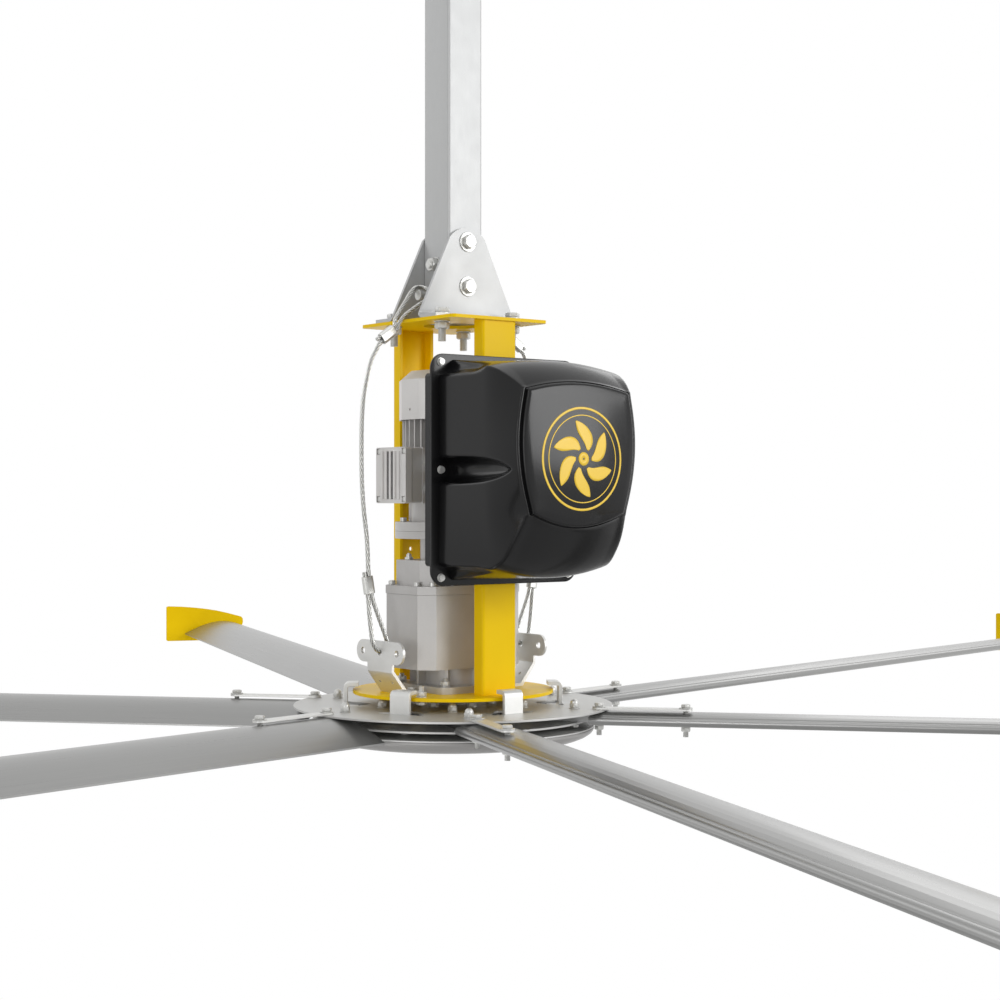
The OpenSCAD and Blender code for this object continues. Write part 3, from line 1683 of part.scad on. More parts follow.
cap_profile_shares = [[1, 0], [1, 0.16], [0.985, 0.34], [0.955, 0.52], [0.91, 0.68],
  [0.84, 0.82], [0.72, 0.93], [0.55, 0.98], [0, 1]];

module hub_cap() {
  z = -cap_plate_z - cap_wall;
  inner = [for (s = cap_profile_shares) [s[0] * (cap_r - cap_wall), s[1] * (cap_depth - cap_wall)]];
  outer = [for (s = cap_profile_shares) [s[0] * cap_r, s[1] * cap_depth]];
  color(dark) hang() up(z) mirror([0, 0, 1]) rotate_extrude($fn = 128)
    polygon(concat(outer, [for (i = [len(inner) - 1:-1:0]) inner[i]]));
}

module hub_bolts() {
  color(bright) hang() blade_lines() for (s = [hub_bolt_1, hub_bolt_2]) {
    translate([s, 0, 0]) dome_set(blade_bolt_d, blade_bolt_d * washer_width_share,
      spar_bottom + lower_plate_t);
  }
}

module blade_spars() {
  end = spar_start + spar_length;
  color(silver) hang() blade_lines() difference() {
    translate([0, spar_w / 2, 0]) rotate([90, 0, 0]) linear_extrude(spar_w) polygon([
      [spar_start, -hub_plate_t - seat_gap], [root_s - cut, -hub_plate_t - seat_gap],
      [root_s - cut, -spar_top], [end, -spar_top], [end, -spar_bottom + seat_gap],
      [spar_start, -spar_bottom + seat_gap]
    ]);
    for (s = [hub_bolt_1, hub_bolt_2, blade_bolt_1, blade_bolt_2]) {
      translate([s, 0, -2 * spar_bottom]) cylinder(h = 2 * spar_bottom,
        r = blade_bolt_d / 2 + hole_clearance);
    }
  }
}

module blade_retainers() {
  color(bright) hang() blade_lines() difference() {
    translate([(blade_bolt_1 + blade_bolt_2) / 2, 0, seat_gap])
      slab(blade_bolt_2 - blade_bolt_1 + retainer_w, retainer_w,
        retainer_w / 2 - seat_gap, retainer_t);
    for (s = [blade_bolt_1, blade_bolt_2]) {
      translate([s, 0, -cut]) cylinder(h = retainer_t + 2 * cut,
        r = blade_bolt_d / 2 + hole_clearance);
    }
  }
}

module blade_bolts() {
  color(bright) hang() blade_lines() for (s = [blade_bolt_1, blade_bolt_2]) {
    translate([s, 0, retainer_t + seat_gap]) bolt_set(blade_bolt_d, blade_washer_d,
      retainer_t + 2 * seat_gap + skin_bottom, blade_bolt_d);
  }
}

// Outline of the airfoil: share of the chord from the nose, share of the section height
airfoil_shares = [
  [0, -0.344], [0.005, -0.266], [0.018, -0.206], [0.037, -0.175], [0.055, -0.166],
  [0.0625, -0.166], [0.066, -0.14], [0.088, -0.1125], [0.147, -0.053], [0.22, -0.0125],
  [0.28, 0], [0.33, 0], [0.404, -0.025], [0.515, -0.1125], [0.625, -0.244],
  [0.735, -0.4125], [0.846, -0.6125], [0.94, -0.8], [1, -0.92], [1, -1], [0.94, -0.9125],
  [0.846, -0.775], [0.735, -0.65], [0.625, -0.6], [0.515, -0.57], [0.088, -0.57],
  [0.051, -0.55], [0.022, -0.49], [0.005, -0.4125]
];
hollow_shares = [
  [0.37, -0.105], [0.404, -0.118], [0.515, -0.20], [0.625, -0.335], [0.70, -0.46],
  [0.73, -0.525], [0.73, -0.555], [0.70, -0.54], [0.625, -0.51], [0.515, -0.48], [0.37, -0.48]
];

function section_points(shares) = [for (s = shares)
  [nose_to_bolts - s[0] * chord, -skin_top + s[1] * section_h]];

module blade_section() {
  difference() {
    polygon(section_points(airfoil_shares));
    polygon(section_points(hollow_shares));
    translate([-spar_w / 2 - hole_clearance, -spar_bottom])
      square([spar_w + 2 * hole_clearance, spar_bottom - spar_top + seat_gap]);
  }
}

// Stands a section drawing up across the blade, its nose towards -Y
module across_blade(s) {
  translate([s, 0, 0]) rotate([90, 0, 90]) mirror([1, 0, 0]) children();
}

module airfoils() {
  color([0.70, 0.70, 0.70]) hang() blade_lines() difference() {
    across_blade(root_s) linear_extrude(tip_r - winglet_t - seat_gap - root_s) blade_section();
    for (s = [blade_bolt_1, blade_bolt_2]) {
      translate([s, 0, -2 * section_h]) cylinder(h = 2 * section_h,
        r = blade_bolt_d / 2 + hole_clearance);
    }
  }
}

winglet_shares = [
  [0, 0.50], [0.004, 0.60], [0.022, 0.655], [0.07, 0.685], [0.2, 0.765], [0.343, 0.84],
  [0.48, 0.892], [0.62, 0.932], [0.8, 0.968], [0.975, 0.985], [0.993, 0.975], [1, 0.95],
  [1, 0.035], [0.993, 0.012], [0.975, 0], [0.40, 0], [0.22, 0.05], [0.10, 0.16],
  [0.03, 0.31]
];
plug_shares = [
  [0.385, -0.13], [0.404, -0.138], [0.515, -0.22], [0.625, -0.355], [0.69, -0.465],
  [0.69, -0.515], [0.625, -0.49], [0.515, -0.465], [0.385, -0.465]
];
plug_length = 30;

module winglets() {
  front = nose_to_bolts + winglet_front;
  low = -hub_plate_t - section_h * 1.5;
  color(yellow) hang() blade_lines() {
    across_blade(tip_r - winglet_t) linear_extrude(winglet_t)
      polygon([for (s = winglet_shares) [front - s[0] * winglet_l, low + s[1] * winglet_h]]);
    across_blade(tip_r - winglet_t - plug_length) linear_extrude(plug_length + cut)
      polygon(section_points(plug_shares));
  }
}

clip_bend_share = 1.4;

module clip_profile() {
  top = disc_top + clip_gap + clip_t;
  bottom = -hub_plate_t - clip_t;
  r = clip_t * clip_bend_share;
  difference() {
    translate([clip_r - clip_arm, bottom]) square([clip_arm, top - bottom]);
    translate([clip_r - clip_arm - cut, bottom + clip_t])
      square([clip_arm - clip_t - (r - clip_t) + cut, top - bottom - 2 * clip_t]);
    translate([clip_r - clip_arm - cut, bottom + r])
      square([clip_arm - clip_t + cut, top - bottom - 2 * r]);
    for (z = [bottom + r, top - r]) {
      translate([clip_r - r, z]) circle(r - clip_t);
    }
    for (z = [[bottom - cut, bottom + r], [top - r, top - r]]) {
      difference() {
        translate([clip_r - r, z[0]]) square([r + cut, r + cut]);
        translate([clip_r - r, z[1]]) circle(r);
      }
    }
  }
}

module safety_clips() {
  color(bright) hang() clip_places() translate([0, clip_w / 2, 0]) rotate([90, 0, 0])
    linear_extrude(clip_w) clip_profile();
}

upper_yoke();
extension_tube();
lower_yoke();
tube_bolts();
rope_pins();
plate_bolts();
frame_top_plate();
frame_posts();
frame_disc();
drive_tray();
drive_unit();
drive_cover();
cover_screws();
motor_cowl();
motor_housing();
motor_stator();
motor_rear_shield();
motor_flange();
motor_bearings();
terminal_box();
terminal_lid();
terminal_screws();
cable_gland();
blanking_plug();
gear_case_upper();
gear_case_lower();
gear_case_bolts();
motor_flange_bolts();
foot_bolts();
breather_plug();
gear_bearings();
output_seal();
rope_brackets();
bracket_bolts();
rope_left();
rope_right();
rope_ferrules();
motor_shaft();
rotor_core();
cooling_fan();
motor_pinion();
counter_shaft();
counter_gear();
output_shaft();
output_gear();
hub_boss();
boss_bolts();
hub_plate();
hub_lower_plate();
hub_cap_plate();
hub_cap();
hub_bolts();
blade_spars();
blade_retainers();
blade_bolts();
airfoils();
winglets();
safety_clips();
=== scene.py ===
import json
import math
from typing import NamedTuple

import bmesh
import bpy
import numpy as np
from mathutils import Matrix, Vector


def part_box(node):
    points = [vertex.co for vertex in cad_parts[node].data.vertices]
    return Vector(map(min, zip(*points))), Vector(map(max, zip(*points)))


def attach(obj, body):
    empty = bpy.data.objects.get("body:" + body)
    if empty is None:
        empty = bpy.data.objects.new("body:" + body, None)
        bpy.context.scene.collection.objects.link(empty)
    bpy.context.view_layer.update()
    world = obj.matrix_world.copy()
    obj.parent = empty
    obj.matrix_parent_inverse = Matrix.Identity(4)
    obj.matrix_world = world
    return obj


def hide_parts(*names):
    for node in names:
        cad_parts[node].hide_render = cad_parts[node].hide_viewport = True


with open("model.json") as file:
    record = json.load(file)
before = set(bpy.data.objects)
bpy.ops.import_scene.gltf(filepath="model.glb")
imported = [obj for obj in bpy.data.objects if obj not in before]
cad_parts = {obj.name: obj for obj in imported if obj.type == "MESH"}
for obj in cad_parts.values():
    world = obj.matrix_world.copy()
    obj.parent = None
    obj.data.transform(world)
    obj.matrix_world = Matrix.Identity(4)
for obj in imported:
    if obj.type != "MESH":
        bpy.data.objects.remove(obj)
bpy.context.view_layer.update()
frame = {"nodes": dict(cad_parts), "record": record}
NODES = frame["nodes"]
RECORD = frame["record"]
BODY_OF = {n: body for body, names in RECORD["behaviour"]["bodies"].items() for n in names}
SLOT_OF = {row["node"]: row["material_slot"] for row in RECORD["subparts"]}

bl_info = {
    "name": "Ceiling fan with six blades",
    "version": (1, 0, 0),
    "blender": (4, 5, 0),
    "location": "3D View > Sidebar > Ceiling fan",
    "description": "Dresses the ceiling fan's frame, motor, hub, blades and safety ropes",
    "category": "Object",
}


def linear(code):
    """A screen colour written as six hex digits, as the linear colour that a shader reads."""
    steps = [int(code[i : i + 2], 16) / 255 for i in (0, 2, 4)]
    return tuple(s / 12.92 if s <= 0.04045 else ((s + 0.055) / 1.055) ** 2.4 for s in steps)


def size(name, description, default):
    """A length in metres for a property group."""
    return bpy.props.FloatProperty(
        name=name, description=description, default=default, min=0.0, max=10.0,
        unit="LENGTH", subtype="DISTANCE", precision=4,
    )


def paint(name, description, code):
    """A colour for a property group, from its screen value."""
    return bpy.props.FloatVectorProperty(
        name=name, description=description, default=linear(code), min=0.0, max=1.0,
        size=3, subtype="COLOR",
    )


class FanSizes(bpy.types.PropertyGroup):
    """Sizes that the dressing adds to the fan's solids."""

    hub_drop: size("Hub drop", "Depth of the hub plate's top below the ceiling", 1.232)
    plate_edge: size("Plate edge", "Rounding on cut and bent plates", 0.0006)
    cast_edge: size("Casting edge", "Rounding on the edges of castings", 0.0016)
    tube_edge: size("Tube edge", "Rounding on the cut ends of the tube", 0.0004)
    fine_edge: size("Fine edge", "Rounding on fins, screws and small parts", 0.0003)
    rope_size: size("Rope size", "Diameter over the strands of a rope", 0.0068)
    rope_lay: size("Rope lay", "Length of one turn of a strand", 0.05)
    motif_height: size("Motif height", "Height of the fan sign on the cover", 0.145)
    thread_pitch: size("Thread pitch", "Pitch of the threads on the bolts", 0.0015)


class FanColours(bpy.types.PropertyGroup):
    """Colours of the fan's finishes."""

    yellow: paint("Frame yellow", "Powder coat of the frame", "FFD200")
    zinc: paint("Zinc", "Galvanised sheet and tube", "BBBCBC")
    bolt: paint("Bolt", "Plated bolts, washers and nuts", "CDCDCA")
    blade: paint("Blade", "Anodised blade skin", "9A9A99")
    hub: paint("Hub", "Bare aluminium of the hub plates", "BCBCBA")
    cast: paint("Casting", "Painted gear case and motor", "C3C1BF")
    black: paint("Cover", "Moulded drive cover", "0F0F10")
    tray: paint("Tray", "Tray of the drive housing", "161617")
    motif: paint("Motif", "Fan sign on the cover", "F6CE3E")
    core: paint("Core", "Laminations and turned steel", "8C8F92")
    rubber: paint("Rubber", "Seals and gland", "1C1C1C")
    plastic: paint("Plastic", "Motor's cooling wheel", "303234")


class Socket:
    """One output in a node tree. Arithmetic on it adds Math nodes."""

    def __init__(self, tree, output):
        self.tree = tree
        self.output = output

    def out(self, name):
        """Another output of the same node."""
        return Socket(self.tree, self.output.node.outputs[name])

    def math(self, operation, *values):
        """A Math node's result, of values or sockets of the same tree."""
        return self.tree.node("ShaderNodeMath", values, operation=operation)

    def __add__(self, other):
        return self.math("ADD", self, other)

    def __sub__(self, other):
        return self.math("SUBTRACT", self, other)

    def __rsub__(self, other):
        return self.math("SUBTRACT", other, self)

    def __mul__(self, other):
        return self.math("MULTIPLY", self, other)

    def __truediv__(self, other):
        return self.math("DIVIDE", self, other)


class NodeTree:
    """A shader or geometry tree that grows by its node method."""

    def __init__(self, tree):
        self.tree = tree

    def node(self, kind, values=(), output=0, **settings):
        """A new node: its settings first, then the values or links of its sockets."""
        node = self.tree.nodes.new(kind)
        for name, value in settings.items():
            setattr(node, name, value)
        pairs = values.items() if isinstance(values, dict) else enumerate(values)
        for key, value in pairs:
            if isinstance(value, Socket):
                self.link(value, node.inputs[key])
            else:
                node.inputs[key].default_value = value
        return Socket(self, node.outputs[output])

    def link(self, source, target):
        """A link from a result to a socket of a node made elsewhere."""
        self.tree.links.new(source.output, target)

    def mix(self, factor, first, second):
        """Two colours mixed by a factor. A Mix node's colours are its sockets 6, 7 and out 2."""
        return self.node("ShaderNodeMix", {0: factor, 6: first, 7: second}, 2, data_type="RGBA")

    def noise(self, place, scale, detail):
        """Noise of a scale and detail at a place."""
        return self.node("ShaderNodeTexNoise",
                         {"Vector": place, "Scale": scale, "Detail": detail})


FINISHES = {}
# Tone: the shares of patches and grain in it, and the range of it that is spread out. Dust: its
# colour, and how far a face must look up to take it.
PATCH_SHARE, GRAIN_SHARE, TONE_LOW, TONE_HIGH = 0.7, 0.3, 0.3, 0.7
DUST, DUST_FROM, COAT_ROUGHNESS = (0.45, 0.43, 0.40, 1), 0.4, 0.12


def tint(colour, share):
    """A colour made lighter or darker by a share."""
    return tuple(min(1.0, c * share) for c in colour)


def new_finish(name):
    """A new material in FINISHES: the tree that feeds its shader, and the shader."""
    material = bpy.data.materials.new(name)
    material.use_nodes = True
    FINISHES[name] = material
    return NodeTree(material.node_tree), material.node_tree.nodes["Principled BSDF"]


def surface(name, colour, rough, metal=0.0, coat=0.0, gloss=0.5, spread=0.08, patch=14.0,
            brush=(1, 1, 1), brush_scale=0.0, brush_amount=0.0, grain=700.0,
            depth=0.04, rough_spread=0.08, attribute=None, dust=0.0):
    """A painted or metal surface: patches of tone, brushed lines, a fine grain and dust.

    Patch, brush_scale and grain are noise scales, and depth is the grain's, in millimetres.
    """
    tree, shader = new_finish(name)
    if attribute:
        place = tree.node("ShaderNodeAttribute", attribute_name=attribute).out("Vector")
    else:
        place = tree.node("ShaderNodeTexCoord").out("Object")
    patches = tree.noise(place, patch, 4.0)
    fine = tree.noise(place, grain, 2.0)
    tone = patches * PATCH_SHARE + fine * GRAIN_SHARE
    height = fine
    if brush_scale:
        drawn = tree.node("ShaderNodeMapping", {"Vector": place, "Scale": brush})
        lines = tree.noise(drawn, brush_scale, 3.0)
        tone = tone * (1 - brush_amount) + lines * brush_amount
        height = height * (1 - brush_amount) + lines * brush_amount
    even = tree.node("ShaderNodeMapRange",
                     {"Value": tone, "From Min": TONE_LOW, "From Max": TONE_HIGH})
    base = tree.mix(even, (*tint(colour, 1 - spread), 1), (*tint(colour, 1 + spread), 1))
    if dust:
        normal = tree.node("ShaderNodeNewGeometry").out("Normal")
        up = tree.node("ShaderNodeSeparateXYZ", [normal]).out("Z")
        lying = tree.node("ShaderNodeMapRange",
                          {"Value": up, "From Min": DUST_FROM, "To Max": dust})
        base = tree.mix(lying * patches, base, DUST)
    tree.link(base, shader.inputs["Base Color"])
    roughness = even * rough_spread + (rough - rough_spread / 2)
    tree.link(roughness, shader.inputs["Roughness"])
    for socket, value in (("Metallic", metal), ("Specular IOR Level", gloss),
                          ("Coat Weight", coat), ("Coat Roughness", COAT_ROUGHNESS)):
        shader.inputs[socket].default_value = value
    if depth:
        bump = tree.node("ShaderNodeBump", {"Height": height, "Distance": depth / 1000})
        tree.link(bump, shader.inputs["Normal"])


def make_finishes(colours):
    """Every finish of the fan."""
    surface("yellow_paint", colours.yellow, 0.36, gloss=0.12, spread=0.04, patch=9, grain=850,
            depth=0.02, rough_spread=0.1)
    surface("galvanised_sheet", colours.zinc, 0.42, metal=0.2, spread=0.05, patch=45,
            brush=(1, 1, 0.03), brush_scale=900, brush_amount=0.35, depth=0.02, rough_spread=0.12)
    surface("zinc_fastener", colours.bolt, 0.38, metal=0.55, spread=0.07, patch=160, grain=1500,
            depth=0.02, rough_spread=0.14)
    surface("wire_rope", colours.bolt, 0.2, metal=1.0, spread=0.05, patch=200, grain=2600,
            depth=0.0, rough_spread=0.1)
    surface("ferrule_aluminium", colours.bolt, 0.3, metal=0.9, spread=0.05, patch=120, grain=1800,
            depth=0.03)
    surface("blade_aluminium", colours.blade, 0.3, metal=0.72, gloss=0.3, spread=0.05, patch=3,
            brush=(0.012, 1, 1), brush_scale=420, brush_amount=0.6, grain=1200, depth=0.008,
            attribute="along_blade")
    surface("bent_aluminium", tint(colours.hub, 1.45), 0.4, metal=0.5, spread=0.04, patch=30,
            grain=1400, depth=0.01)
    surface("hub_aluminium", tint(colours.hub, 1.12), 0.4, metal=0.4, spread=0.04, patch=12,
            brush=(0.02, 1, 1), brush_scale=500, brush_amount=0.5, grain=1600, depth=0.012)
    surface("black_cover", colours.black, 0.24, gloss=0.16, coat=0.25, patch=20, grain=1500,
            depth=0.03, rough_spread=0.06)
    surface("black_tray", colours.tray, 0.4, gloss=0.3, patch=24, grain=1200, dust=0.06)
    surface("grey_casting", colours.cast, 0.36, metal=0.15, spread=0.06, patch=26, grain=620,
            depth=0.05, rough_spread=0.12, dust=0.05)
    surface("core_steel", colours.core, 0.4, metal=0.9, patch=60, brush=(1, 1, 40), brush_scale=30,
            brush_amount=0.5, grain=900)
    surface("ground_steel", colours.bolt, 0.2, metal=1.0, spread=0.05, patch=60, brush=(1, 1, 40),
            brush_scale=40, brush_amount=0.5, grain=1200, depth=0.01)
    surface("drive_metal", colours.core, 0.36, metal=0.8, spread=0.06, patch=50)
    surface("seal_rubber", colours.rubber, 0.6, spread=0.1, patch=80, grain=900, depth=0.06)
    surface("fan_plastic", colours.plastic, 0.45, patch=60, grain=900)
    # The cowl and terminal lid take the casting paint made lighter: painted light, for the light on
    # the cowl's top and on the lid's side.
    surface("pale_casting", tint(colours.cast, 1.25), 0.34, metal=0.2, spread=0.05, patch=20,
            depth=0.03, rough_spread=0.1)
    # The hub cap takes the casting paint made darker: partly the cap's own paint and partly painted
    # shade, for the shade on its underside.
    surface("cap_paint", tint(colours.cast, 0.62), 0.42, metal=0.3, coat=0.1, spread=0.04, patch=10,
            grain=800, depth=0.05)
    surface("motif_paint", colours.motif, 0.38, spread=0.03, patch=60, grain=900, depth=0.02)


# Under these, in metres and degrees, points join, slivers go and triangles make one face.
WELD, SLIVER, FLAT_ANGLE = 0.000002, 0.0000005, 0.4


def merged_copy(node):
    """A bmesh of a node's solid with its loose triangles joined into flat faces."""
    mesh = bmesh.new()
    mesh.from_mesh(NODES[node].data)
    bmesh.ops.remove_doubles(mesh, verts=mesh.verts, dist=WELD)
    bmesh.ops.dissolve_degenerate(mesh, edges=mesh.edges, dist=SLIVER)
    bmesh.ops.dissolve_limit(mesh, angle_limit=math.radians(FLAT_ANGLE),
                             use_dissolve_boundaries=False, verts=mesh.verts, edges=mesh.edges)
    return mesh


def link_mesh(name, mesh, material, sharp=30.0):
    """A new object from a bmesh, smooth but for its sharp edges, with its finish."""
    data = bpy.data.meshes.new(name)
    mesh.to_mesh(data)
    mesh.free()
    data.shade_smooth()
    data.set_sharp_from_angle(angle=math.radians(sharp))
    data.materials.append(FINISHES[material])
    piece = bpy.data.objects.new(name, data)
    bpy.context.scene.collection.objects.link(piece)
    return piece


def apply_modifiers(piece):
    """The piece's modifiers made part of its mesh."""
    graph = bpy.context.evaluated_depsgraph_get()
    done = bpy.data.meshes.new_from_object(piece.evaluated_get(graph))
    piece.modifiers.clear()
    old, piece.data = piece.data, done
    bpy.data.meshes.remove(old)


def bevel(piece, width, angle=32.0, segments=2):
    """Rounded edges, applied, with shading that stays flat on the faces beside them."""
    tool = piece.modifiers.new("edges", "BEVEL")
    tool.width = width
    tool.segments = segments
    tool.limit_method = "ANGLE"
    tool.angle_limit = math.radians(angle)
    tool.harden_normals = True
    tool.use_clamp_overlap = True
    tool.miter_outer = "MITER_ARC"
    apply_modifiers(piece)


def stand_for(piece, node):
    """The piece rides with a node's body, stands for the node and takes its slot."""
    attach(piece, BODY_OF[node])
    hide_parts(node)
    return piece


def rounded(node, width, material=None, angle=32.0):
    """A piece that stands for a node, with its edges rounded."""
    piece = link_mesh(f"{node}_rounded", merged_copy(node), material or SLOT_OF[node])
    bevel(piece, width, angle)
    return stand_for(piece, node)


def round_all(width, *nodes):
    """Pieces of one edge width, in the finishes of their slots."""
    for node in nodes:
        rounded(node, width)


def repaint(*nodes):
    """Nodes that are carried over as they are, with their finishes."""
    for node in nodes:
        materials = NODES[node].data.materials
        materials.clear()
        materials.append(FINISHES[SLOT_OF[node]])


def smooth_line(points, step, parts=24):
    """Points every step along a smooth line through the given points, first cut in parts."""
    ends = [2 * points[0] - points[1], *points, 2 * points[-1] - points[-2]]
    dense = []
    for a, b, c, d in zip(ends, ends[1:], ends[2:], ends[3:]):
        for k in range(parts):
            t = k / parts
            dense.append(0.5 * ((2 * b) + (c - a) * t + (2 * a - 5 * b + 4 * c - d) * t * t
                                + (3 * b - a - 3 * c + d) * t * t * t))
    dense.append(points[-1].copy())
    line, carried = [dense[0]], 0.0
    for a, b in zip(dense, dense[1:]):
        span = (b - a).length
        place = step - carried
        while place <= span and span > 0:
            line.append(a.lerp(b, place / span))
            place += step
        carried = span - (place - step)
    line[-1] = dense[-1].copy()
    return line


def stitch(mesh, rings, closed_end=False):
    """Faces between rings of equal size, and across the last ring if the end is closed."""
    for low, high in zip(rings, rings[1:]):
        for k in range(len(low)):
            n = (k + 1) % len(low)
            mesh.faces.new((low[k], low[n], high[n], high[k]))
    if closed_end:
        last = rings[-1]
        centre = mesh.verts.new(sum((v.co for v in last), Vector()) / len(last))
        for k in range(len(last)):
            mesh.faces.new((last[k], last[(k + 1) % len(last)], centre))


def tube_rings(mesh, line, radius, sides, twist_radius=0.0, lay=1.0, start=0.0):
    """A round strand along a line, or one that winds round the line."""
    rings, normal, travelled, last = [], None, 0.0, line[0]
    for i, point in enumerate(line):
        tangent = (line[min(i + 1, len(line) - 1)] - line[max(i - 1, 0)]).normalized()
        if normal is None:
            normal = tangent.orthogonal().normalized()
        normal = (normal - tangent * normal.dot(tangent)).normalized()
        side = tangent.cross(normal)
        travelled += (point - last).length
        last = point
        turn = start + 2 * math.pi * travelled / lay
        centre = point + (normal * math.cos(turn) + side * math.sin(turn)) * twist_radius
        rings.append([mesh.verts.new(centre + (normal * math.cos(a) + side * math.sin(a)) * radius)
                      for a in (2 * math.pi * k / sides for k in range(sides))])
    stitch(mesh, rings)
    mesh.faces.new(rings[0][::-1])
    mesh.faces.new(rings[-1])


# The left rope's middle line, in millimetres from the fan's axis and above the hub plate. The
# right rope is the same, half a turn round the axis.
ROPE_ROUTE = [
    (-140, 0, 545), (-123, 0, 556.4), (-108.6, 0, 566.3), (-106, 2, 576), (-97, 4, 589),
    (-85, 6, 604), (-75, 7, 618), (-65, 7.5, 627.5), (-55, 6, 629), (-48, 1, 626.5),
    (-45, -6.5, 624), (-44, -9.9, 616), (-46, -8.5, 609.5), (-54, -8, 606), (-63, -7.5, 604),
    (-82, -3, 590.5), (-92, -1, 582), (-101, 0, 570.5), (-104.6, 0, 560.5),
    (-133.4, 0, 540.7), (-141, 0, 530), (-150, 0, 514), (-157, 0, 490), (-163, 0, 462),
    (-166, 0, 432), (-167, 0, 400), (-167, 0, 366), (-166, 0, 332), (-163, 0, 294),
    (-158, 0, 256), (-156, 0, 228), (-154.6, 0, 202), (-148.5, 0, 167), (-141, 0, 146),
    (-131, 0, 123), (-124, 0, 106), (-120.5, 0, 95), (-122, 0, 87.5), (-131, 0, 84.5),
    (-140, 0, 88), (-147, 0, 99), (-150, 0, 116), (-153, 0, 140), (-155.4, 0, 166),
    (-161.9, 0, 203),
]
# The step of its rings in metres, the strands, and their sizes in shares of a strand's radius.
ROPE_STEP = 0.003
STRANDS, STRAND_SIDES, CORE_SIDES = 6, 8, 6
STRAND_SHARE, WINDING_SHARE, CORE_SHARE = 0.86, 2.1, 0.7


def make_ferrules(side, sizes):
    """The two pressed sleeves of one rope, with rounded ends."""
    mesh = merged_copy("rope_ferrules")
    far = [v for v in mesh.verts if v.co.x * side < 0]
    bmesh.ops.delete(mesh, geom=far, context="VERTS")
    name = "ferrules_left" if side < 0 else "ferrules_right"
    piece = link_mesh(name, mesh, "ferrule_aluminium")
    bevel(piece, sizes.plate_edge * 1.5, segments=3)
    return stand_for(piece, "rope_ferrules")


def make_ropes(sizes):
    """Two wire ropes of six strands round a core, each one length from ferrule to ferrule."""
    for node, turn, side in (("rope_left", 0.0, -1), ("rope_right", math.pi, 1)):
        swing = Matrix.Rotation(turn, 3, "Z")
        points = [swing @ Vector((x / 1000, y / 1000, z / 1000 - sizes.hub_drop))
                  for x, y, z in ROPE_ROUTE]
        line = smooth_line(points, ROPE_STEP)
        strand = sizes.rope_size / 6  # a strand's radius, three strands across the rope
        mesh = bmesh.new()
        for k in range(STRANDS):
            tube_rings(mesh, line, strand * STRAND_SHARE, STRAND_SIDES, strand * WINDING_SHARE,
                       sizes.rope_lay, 2 * math.pi * k / STRANDS)
        tube_rings(mesh, line, strand * CORE_SHARE, CORE_SIDES)
        rope = link_mesh(f"{node}_strands", mesh, "wire_rope", sharp=60)
        stand_for(rope, node)
        run = sum((b - a).length for a, b in zip(line, line[1:]))
        make_ferrules(side, sizes)


# The camera's lens and sensor in millimetres, its shift, place and turn about the upright axis.
LENS, SENSOR, SHIFT = 66.67, 36.0, -0.0006
CAMERA_PLACE, CAMERA_TURN = (-1.6772, -2.2626, -0.9223), -38
FLOOR_RADIUS, FLOOR_HEIGHT = 4.2, -3.4
FLOOR_TONES = ((0.80, 0.80, 0.80, 1), (0.84, 0.84, 0.84, 1))
WHITE, AMBIENT = (1, 1, 1, 1), 0.42
# Square lamps, all turned to one aim: name, place, width in metres and power in watts.
LAMP_AIM = Vector((0, 0, -0.95))
LAMPS = [
    ("key lamp", (3.1, -5.1, 0.6), 2.9, 168.0),
    ("fill lamp", (-4.8, -2.3, -0.9), 2.4, 44.0),
    ("top lamp", (0.2, -0.4, 2.4), 1.6, 8.0),
    ("back lamp", (3.3, 1.3, 0.5), 1.8, 10.0),
    ("rear lamp", (-1.6, 3.3, 0.9), 1.8, 10.0),
    ("edge lamp", (-2.7, -2.0, 0.6), 0.3, 6.0),
    ("low lamp", (-1.4, 0.6, -3.0), 0.5, 6.0),
]


def make_stage(_sizes):
    """The camera at the photograph's angle, the lamps, the floor and the white surround."""
    scene = bpy.context.scene
    lens = bpy.data.cameras.new("camera")
    lens.lens, lens.sensor_width, lens.shift_y = LENS, SENSOR, SHIFT
    lens.clip_end = 60
    camera = bpy.data.objects.new("camera", lens)
    camera.location = CAMERA_PLACE
    camera.rotation_euler = (math.radians(90), 0, math.radians(CAMERA_TURN))
    scene.collection.objects.link(camera)
    scene.camera = camera
    scene.view_settings.view_transform = "Standard"

    mesh = bmesh.new()
    bmesh.ops.create_circle(mesh, cap_ends=True, radius=FLOOR_RADIUS, segments=96)
    bmesh.ops.translate(mesh, vec=(0, 0, FLOOR_HEIGHT), verts=mesh.verts)
    tree, shader = new_finish("pale_floor")
    place = tree.node("ShaderNodeTexCoord").out("Object")
    cloud = tree.noise(place, 2.0, 3.0)
    base = tree.mix(cloud, *FLOOR_TONES)
    tree.link(base, shader.inputs["Base Color"])
    shader.inputs["Roughness"].default_value = 0.8
    link_mesh("floor", mesh, "pale_floor")

    world = scene.world or bpy.data.worlds.new("surround")
    scene.world = world
    world.use_nodes = True
    world.node_tree.nodes.clear()
    tree = NodeTree(world.node_tree)
    path = tree.node("ShaderNodeLightPath")
    seen = path.math("MAXIMUM", path.out("Is Camera Ray"), path.math(
        "MAXIMUM", path.out("Is Glossy Ray"), path.out("Is Transmission Ray")))
    dim = tree.node("ShaderNodeBackground", [WHITE, AMBIENT])
    white = tree.node("ShaderNodeBackground", [WHITE, 1.0])
    both = tree.node("ShaderNodeMixShader", [seen, dim, white])
    ending = tree.tree.nodes.new("ShaderNodeOutputWorld")
    tree.link(both, ending.inputs["Surface"])

    for name, place, width, power in LAMPS:
        lamp = bpy.data.lights.new(name, "AREA")
        lamp.shape, lamp.size, lamp.energy = "SQUARE", width, power
        light = bpy.data.objects.new(name, lamp)
        light.location = place
        light.rotation_euler = (LAMP_AIM - Vector(place)).to_track_quat("-Z", "Y").to_euler()
        scene.collection.objects.link(light)


